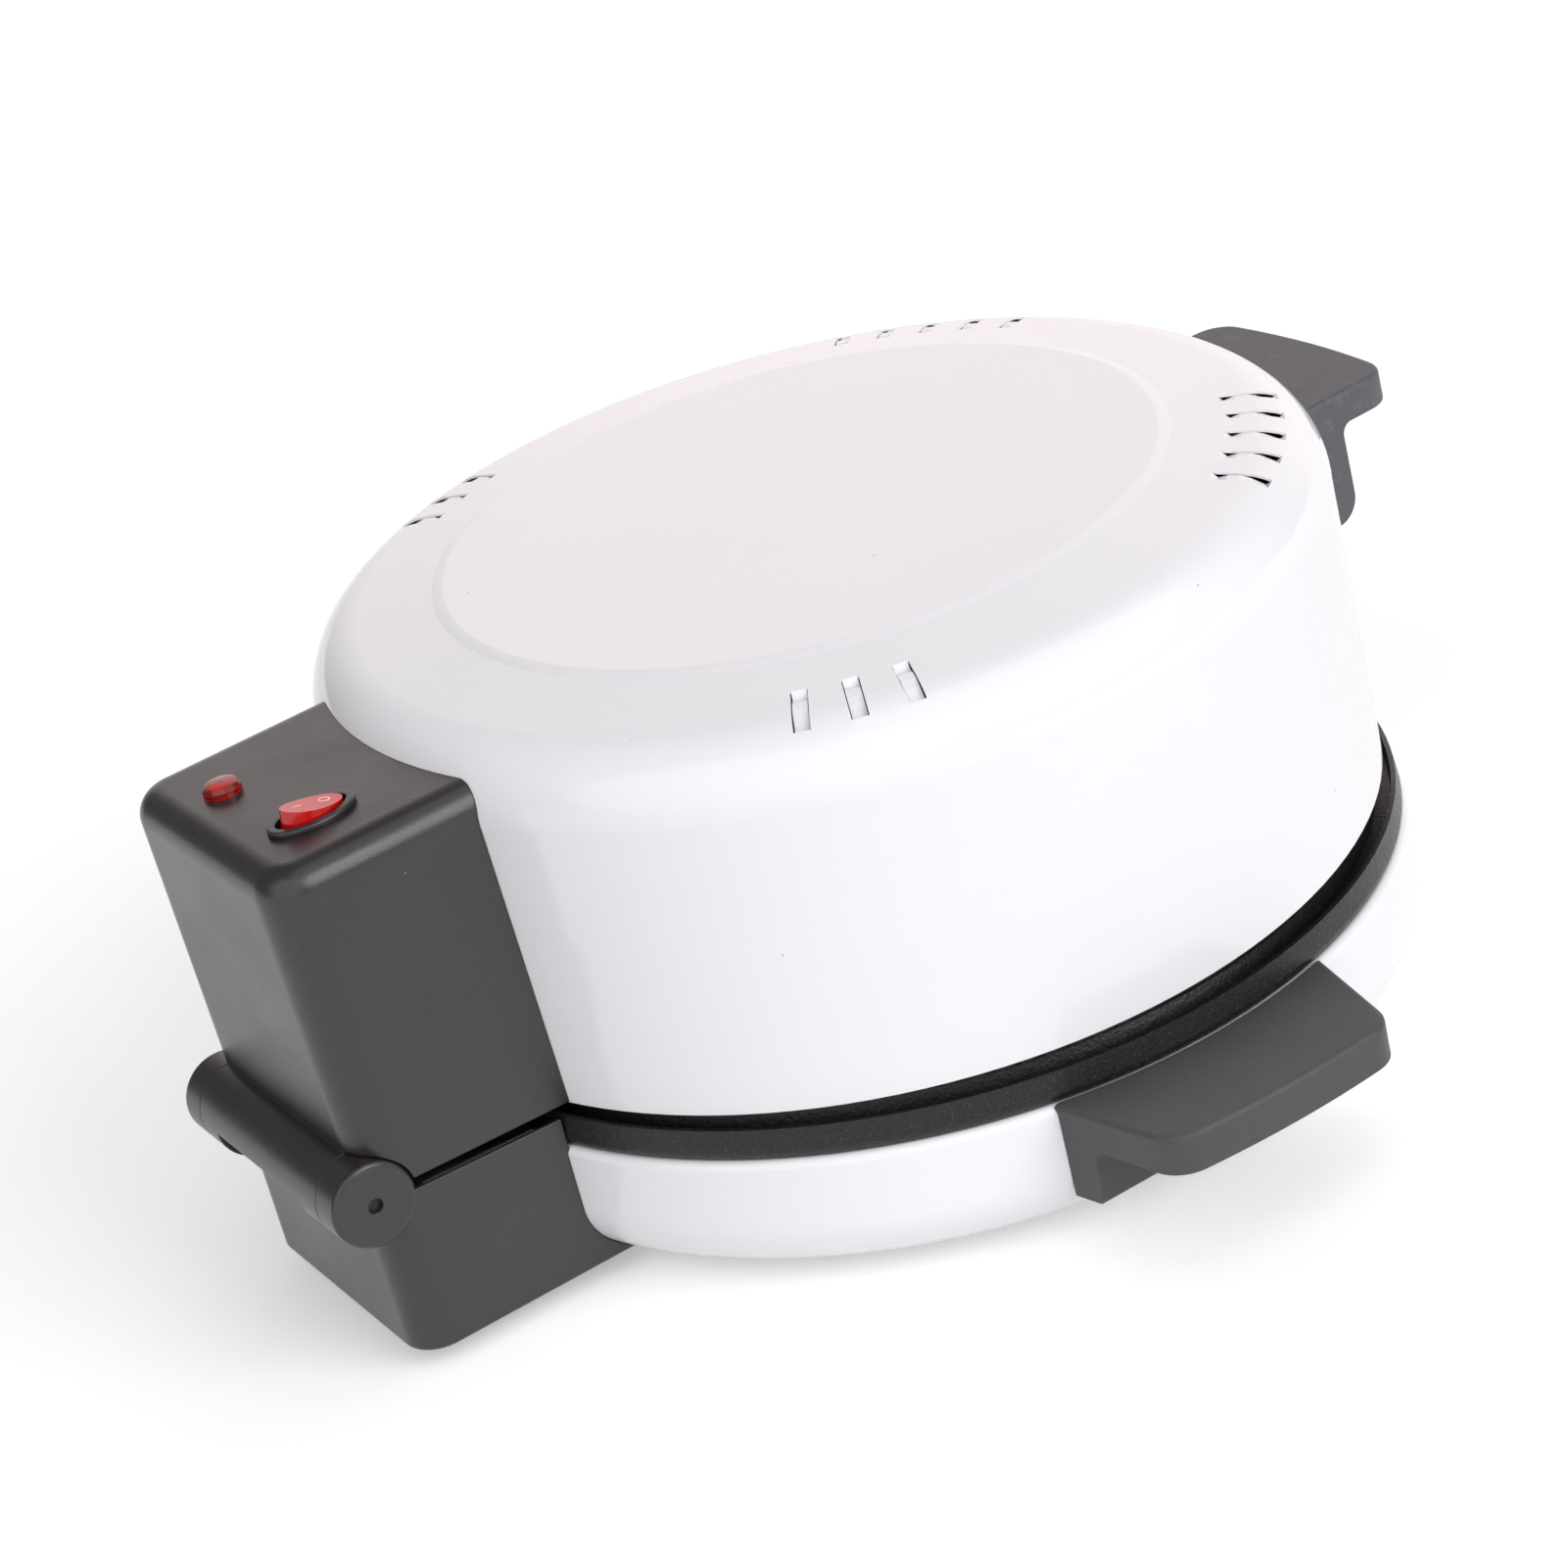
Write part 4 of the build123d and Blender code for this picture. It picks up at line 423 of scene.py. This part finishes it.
# Liner, reflector and thermostat cap: bright rolled aluminium sheet, pressed to shape, which throws
# the heat back at the food. Rolling leaves it slightly uneven over a couple of centimetres.
roll_size = 0.02
bright, tree = empty_material("bright rolled aluminium sheet")
place = add(tree, "ShaderNodeTexCoord").outputs["Object"]
roll = add(tree, "ShaderNodeTexNoise", {"Vector": place, "Scale": 1 / roll_size, "Detail": 4})
rough = add(tree, "ShaderNodeMapRange", {"Value": roll, "From Min": 0.3, "From Max": 0.7,
                                         "To Min": 0.22, "To Max": 0.34})
uneven = add(tree, "ShaderNodeBump", {"Height": roll, "Distance": 0.0008, "Strength": 0.2})
metal = add(tree, "ShaderNodeBsdfPrincipled", {"Base Color": linear("#D6D7DA"), "Metallic": 1.0,
                                               "Roughness": rough, "Normal": uneven})
add(tree, "ShaderNodeOutputMaterial", {"Surface": metal})
give(bright, "lid_liner", "lower_reflector", "thermostat_cap")


# Heaters: bent stainless tubes, packed with powder round a heating wire, one in the lid and one
# under the pan. Their own heat has dulled and browned them in patches, under a thin scale.
heat_patch_size = 0.03
scale_size = 0.002
sheath, tree = empty_material("heat browned stainless tube")
place = add(tree, "ShaderNodeTexCoord").outputs["Object"]
heat = add(tree, "ShaderNodeTexNoise", {"Vector": place, "Scale": 1 / heat_patch_size,
                                        "Detail": 4})
bloom = add(tree, "ShaderNodeMapRange", {"Value": heat, "From Min": 0.35, "From Max": 0.65})
colour = add(tree, "ShaderNodeMix", {"Factor": bloom, 6: linear("#5E5650"),
                                     7: linear("#7A6A58")}, data_type="RGBA")
scale = add(tree, "ShaderNodeTexNoise", {"Vector": place, "Scale": 1 / scale_size, "Detail": 3})
rough = add(tree, "ShaderNodeMapRange", {"Value": scale, "From Min": 0.3, "From Max": 0.7,
                                         "To Min": 0.38, "To Max": 0.52})
tube = add(tree, "ShaderNodeBsdfPrincipled", {"Base Color": colour.outputs[2], "Metallic": 0.9,
                                              "Roughness": rough})
add(tree, "ShaderNodeOutputMaterial", {"Surface": tube})
give(sheath, "upper_element", "lower_element")


# Screws, rivets, clips, clamps, spacers and brackets: pressed or turned steel, zinc plated and
# passivated, which leaves a cloudy blue-white shine.
plating_cloud_size = 0.004
zinc, tree = empty_material("bright zinc plated steel")
place = add(tree, "ShaderNodeTexCoord").outputs["Object"]
cloud = add(tree, "ShaderNodeTexNoise", {"Vector": place, "Scale": 1 / plating_cloud_size,
                                         "Detail": 4})
colour = add(tree, "ShaderNodeMix", {"Factor": cloud, 6: linear("#B4B8BE"),
                                     7: linear("#CFD1D0")}, data_type="RGBA")
rough = add(tree, "ShaderNodeMapRange", {"Value": cloud, "From Min": 0.3, "From Max": 0.7,
                                         "To Min": 0.26, "To Max": 0.40})
metal = add(tree, "ShaderNodeBsdfPrincipled", {"Base Color": colour.outputs[2], "Metallic": 1.0,
                                               "Roughness": rough})
add(tree, "ShaderNodeOutputMaterial", {"Surface": metal})
give(zinc, "upper_element_clips", "clip_rivets", "lid_handle_screws", "upper_housing_screws",
     "lamp_nut", "pan_spacers", "pan_screws", "lower_element_clamps", "clamp_screws",
     "thermostat_bracket", "bracket_screws", "lower_housing_screws", "side_handle_screws")


# Tags, blades and clamping screws, which join the wires to the heaters, the switch and the inlet:
# stamped or turned brass, tarnished a little in patches.
tarnish_size = 0.003
tag_brass, tree = empty_material("stamped brass strip")
place = add(tree, "ShaderNodeTexCoord").outputs["Object"]
tarnish = add(tree, "ShaderNodeTexNoise", {"Vector": place, "Scale": 1 / tarnish_size,
                                           "Detail": 3})
colour = add(tree, "ShaderNodeMix", {"Factor": tarnish, 6: linear("#B8964E"),
                                     7: linear("#DCC384")}, data_type="RGBA")
rough = add(tree, "ShaderNodeMapRange", {"Value": tarnish, "From Min": 0.3, "From Max": 0.7,
                                         "To Min": 0.36, "To Max": 0.24})
metal = add(tree, "ShaderNodeBsdfPrincipled", {"Base Color": colour.outputs[2], "Metallic": 1.0,
                                               "Roughness": rough})
add(tree, "ShaderNodeOutputMaterial", {"Surface": metal})
give(tag_brass, "upper_element_terminals", "lower_element_terminals", "switch_terminals",
     "terminal_block_screws", "inlet_blades")


# Terminal block inside the base, where the supply wires meet the heater's: pressed steatite, fired
# and left unglazed, so it is chalky with a 1 mm grain.
chalk_size = 0.001
steatite, tree = empty_material("pressed steatite, unglazed")
place = add(tree, "ShaderNodeTexCoord").outputs["Object"]
chalk = add(tree, "ShaderNodeTexNoise", {"Vector": place, "Scale": 1 / chalk_size, "Detail": 3})
colour = add(tree, "ShaderNodeMix", {"Factor": chalk, 6: linear("#E2DED2"),
                                     7: linear("#EFECE2")}, data_type="RGBA")
pores = add(tree, "ShaderNodeBump", {"Height": chalk, "Distance": 0.0001, "Strength": 0.3})
fired = add(tree, "ShaderNodeBsdfPrincipled", {"Base Color": colour.outputs[2], "Roughness": 0.7,
                                               "Normal": pores})
add(tree, "ShaderNodeOutputMaterial", {"Surface": fired})
give(steatite, "terminal_block")


# Neon bulb behind the lens: a small bulb of blown clear glass. It has an orange cast from the gas
# and the electrodes in it.
cast_size = 0.002
bulb_glass, tree = empty_material("neon bulb glass")
place = add(tree, "ShaderNodeTexCoord").outputs["Object"]
cast = add(tree, "ShaderNodeTexNoise", {"Vector": place, "Scale": 1 / cast_size, "Detail": 2})
colour = add(tree, "ShaderNodeMix", {"Factor": cast, 6: linear("#EDB79A"), 7: linear("#F6D3C2")},
             data_type="RGBA")
clear = add(tree, "ShaderNodeBsdfPrincipled", {"Base Color": colour.outputs[2],
                                               "Roughness": 0.05, "IOR": 1.5,
                                               "Transmission Weight": 0.8})
add(tree, "ShaderNodeOutputMaterial", {"Surface": clear})
give(bulb_glass, "lamp_bulb")


# Wires inside the base and the housings: stranded copper in sleeving braided from glass yarn, whose
# diagonal bands lie 1.85 mm apart. Their bared ends sit in the block and on the tags.
braid_scale = 196.25
sleeving, tree = empty_material("braided glass sleeving")
place = add(tree, "ShaderNodeTexCoord").outputs["Object"]
braid = add(tree, "ShaderNodeTexWave", {"Vector": place, "Scale": braid_scale,
                                        "Distortion": 0.5}, bands_direction="DIAGONAL")
colour = add(tree, "ShaderNodeMix", {"Factor": braid.outputs["Fac"], 6: linear("#C9C3B4"),
                                     7: linear("#E9E5DA")}, data_type="RGBA")
yarn = add(tree, "ShaderNodeBump", {"Height": braid.outputs["Fac"], "Distance": 0.0002,
                                    "Strength": 0.5})
woven = add(tree, "ShaderNodeBsdfPrincipled", {"Base Color": colour.outputs[2],
                                               "Roughness": 0.75, "Normal": yarn})
add(tree, "ShaderNodeOutputMaterial", {"Surface": woven})
give(sleeving, "supply_wires", "heater_wires", "earth_wire", "lid_wires")


# Feet: four moulded rubber buttons, each pushed through the base's floor on a barbed stem. The sole
# has three ring grooves for grip. One outline is turned into a foot and set on four points.
foot_places = [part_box("foot_" + corner)
               for corner in ("front_left", "front_right", "back_left", "back_right")]
foot_outline = [(0.0, 0.0), (0.0018, 0.0), (0.0022, 0.0006), (0.0030, 0.0006), (0.0034, 0.0),
                (0.0044, 0.0), (0.0048, 0.0006), (0.0056, 0.0006), (0.0060, 0.0), (0.0070, 0.0),
                (0.0074, 0.0006), (0.0078, 0.0006), (0.0080, 0.0), (0.0084, 0.0001),
                (0.0088, 0.0004), (0.0090, 0.0009), (0.0099, 0.0054), (0.0098, 0.0058),
                (0.0095, 0.0059), (0.0036, 0.0059), (0.0036, 0.0069), (0.0046, 0.0069),
                (0.0026, 0.0099), (0.0, 0.0099)]
foot_steps = 48
weld_distance = 0.000001
foot_dust_size = 0.004
foot_skin_size = 0.0006
rubber, tree = empty_material("moulded black rubber")
place = add(tree, "ShaderNodeTexCoord").outputs["Object"]
dust = add(tree, "ShaderNodeTexNoise", {"Vector": place, "Scale": 1 / foot_dust_size,
                                        "Detail": 4})
dusty = add(tree, "ShaderNodeMapRange", {"Value": dust, "From Min": 0.45, "From Max": 0.75})
colour = add(tree, "ShaderNodeMix", {"Factor": dusty, 6: linear("#1E1E1E"),
                                     7: linear("#3A3938")}, data_type="RGBA")
skin = add(tree, "ShaderNodeTexNoise", {"Vector": place, "Scale": 1 / foot_skin_size,
                                        "Detail": 2})
matt = add(tree, "ShaderNodeBump", {"Height": skin, "Distance": 0.0001, "Strength": 0.4})
cured = add(tree, "ShaderNodeBsdfPrincipled", {"Base Color": colour.outputs[2], "Roughness": 0.8,
                                               "Normal": matt})
add(tree, "ShaderNodeOutputMaterial", {"Surface": cured})
outline_mesh = bpy.data.meshes.new("foot_outline")
outline_mesh.from_pydata([(radius, 0, height) for radius, height in foot_outline], [], [])
outline_object = bpy.data.objects.new("foot_outline", outline_mesh)
places_mesh = bpy.data.meshes.new("foot_places")
places_mesh.from_pydata([((low[0] + high[0]) / 2, (low[1] + high[1]) / 2, low[2])
                         for low, high in foot_places], [], [])
feet_maker = bpy.data.objects.new("feet_maker", places_mesh)
bpy.context.scene.collection.objects.link(feet_maker)
feet_tree = bpy.data.node_groups.new("turned foot on points", "GeometryNodeTree")
for name, kind in (("Geometry", "NodeSocketGeometry"), ("Outline", "NodeSocketObject"),
                   ("Outline points", "NodeSocketInt"), ("Steps round", "NodeSocketInt"),
                   ("Weld distance", "NodeSocketFloat"), ("Rubber", "NodeSocketMaterial")):
    feet_tree.interface.new_socket(name, in_out="INPUT", socket_type=kind)
feet_tree.interface.new_socket("Geometry", in_out="OUTPUT", socket_type="NodeSocketGeometry")
given = add(feet_tree, "NodeGroupInput")
outline_points = given.outputs["Outline points"]
steps_round = given.outputs["Steps round"]
outline = add(feet_tree, "GeometryNodeObjectInfo", {"Object": given.outputs["Outline"]})
columns = add(feet_tree, "ShaderNodeMath", {0: steps_round, 1: 1.0}, operation="ADD")
sheet = add(feet_tree, "GeometryNodeMeshGrid", {"Vertices X": columns,
                                                "Vertices Y": outline_points})
index = add(feet_tree, "GeometryNodeInputIndex")
along = add(feet_tree, "ShaderNodeMath", {0: index, 1: outline_points}, operation="MODULO")
whole = add(feet_tree, "ShaderNodeMath", {0: index, 1: outline_points}, operation="DIVIDE")
column = add(feet_tree, "ShaderNodeMath", {0: whole}, operation="FLOOR")
share = add(feet_tree, "ShaderNodeMath", {0: column, 1: steps_round}, operation="DIVIDE")
turn = add(feet_tree, "ShaderNodeMath", {0: share, 1: 2 * pi}, operation="MULTIPLY")
point = add(feet_tree, "GeometryNodeSampleIndex",
            {"Geometry": outline.outputs["Geometry"],
             "Value": add(feet_tree, "GeometryNodeInputPosition"), "Index": along},
            data_type="FLOAT_VECTOR")
turned = add(feet_tree, "ShaderNodeVectorRotate", {"Vector": point, "Angle": turn},
             rotation_type="Z_AXIS")
shaped = add(feet_tree, "GeometryNodeSetPosition", {"Geometry": sheet.outputs["Mesh"],
                                                    "Position": turned})
closed = add(feet_tree, "GeometryNodeMergeByDistance",
             {"Geometry": shaped, "Distance": given.outputs["Weld distance"]})
set_on = add(feet_tree, "GeometryNodeInstanceOnPoints", {"Points": given.outputs["Geometry"],
                                                         "Instance": closed})
real = add(feet_tree, "GeometryNodeRealizeInstances", {"Geometry": set_on})
dressed = add(feet_tree, "GeometryNodeSetMaterial", {"Geometry": real,
                                                     "Material": given.outputs["Rubber"]})
add(feet_tree, "NodeGroupOutput", {"Geometry": dressed})
maker = feet_maker.modifiers.new("feet", "NODES")
maker.node_group = feet_tree
values = {"Outline": outline_object, "Outline points": len(foot_outline),
          "Steps round": foot_steps, "Weld distance": weld_distance, "Rubber": rubber}
for item in feet_tree.interface.items_tree:
    if item.in_out == "INPUT" and item.name in values:
        maker[item.identifier] = values[item.name]
evaluated = feet_maker.evaluated_get(bpy.context.evaluated_depsgraph_get())
feet_mesh = bpy.data.meshes.new_from_object(evaluated)
feet_maker.modifiers.clear()
bpy.data.objects.remove(feet_maker)
bpy.data.objects.remove(outline_object)
feet = bpy.data.objects.new("rubber_feet", feet_mesh)
bpy.context.scene.collection.objects.link(feet)
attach(feet, "base")
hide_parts("foot_front_left", "foot_front_right", "foot_back_left", "foot_back_right")
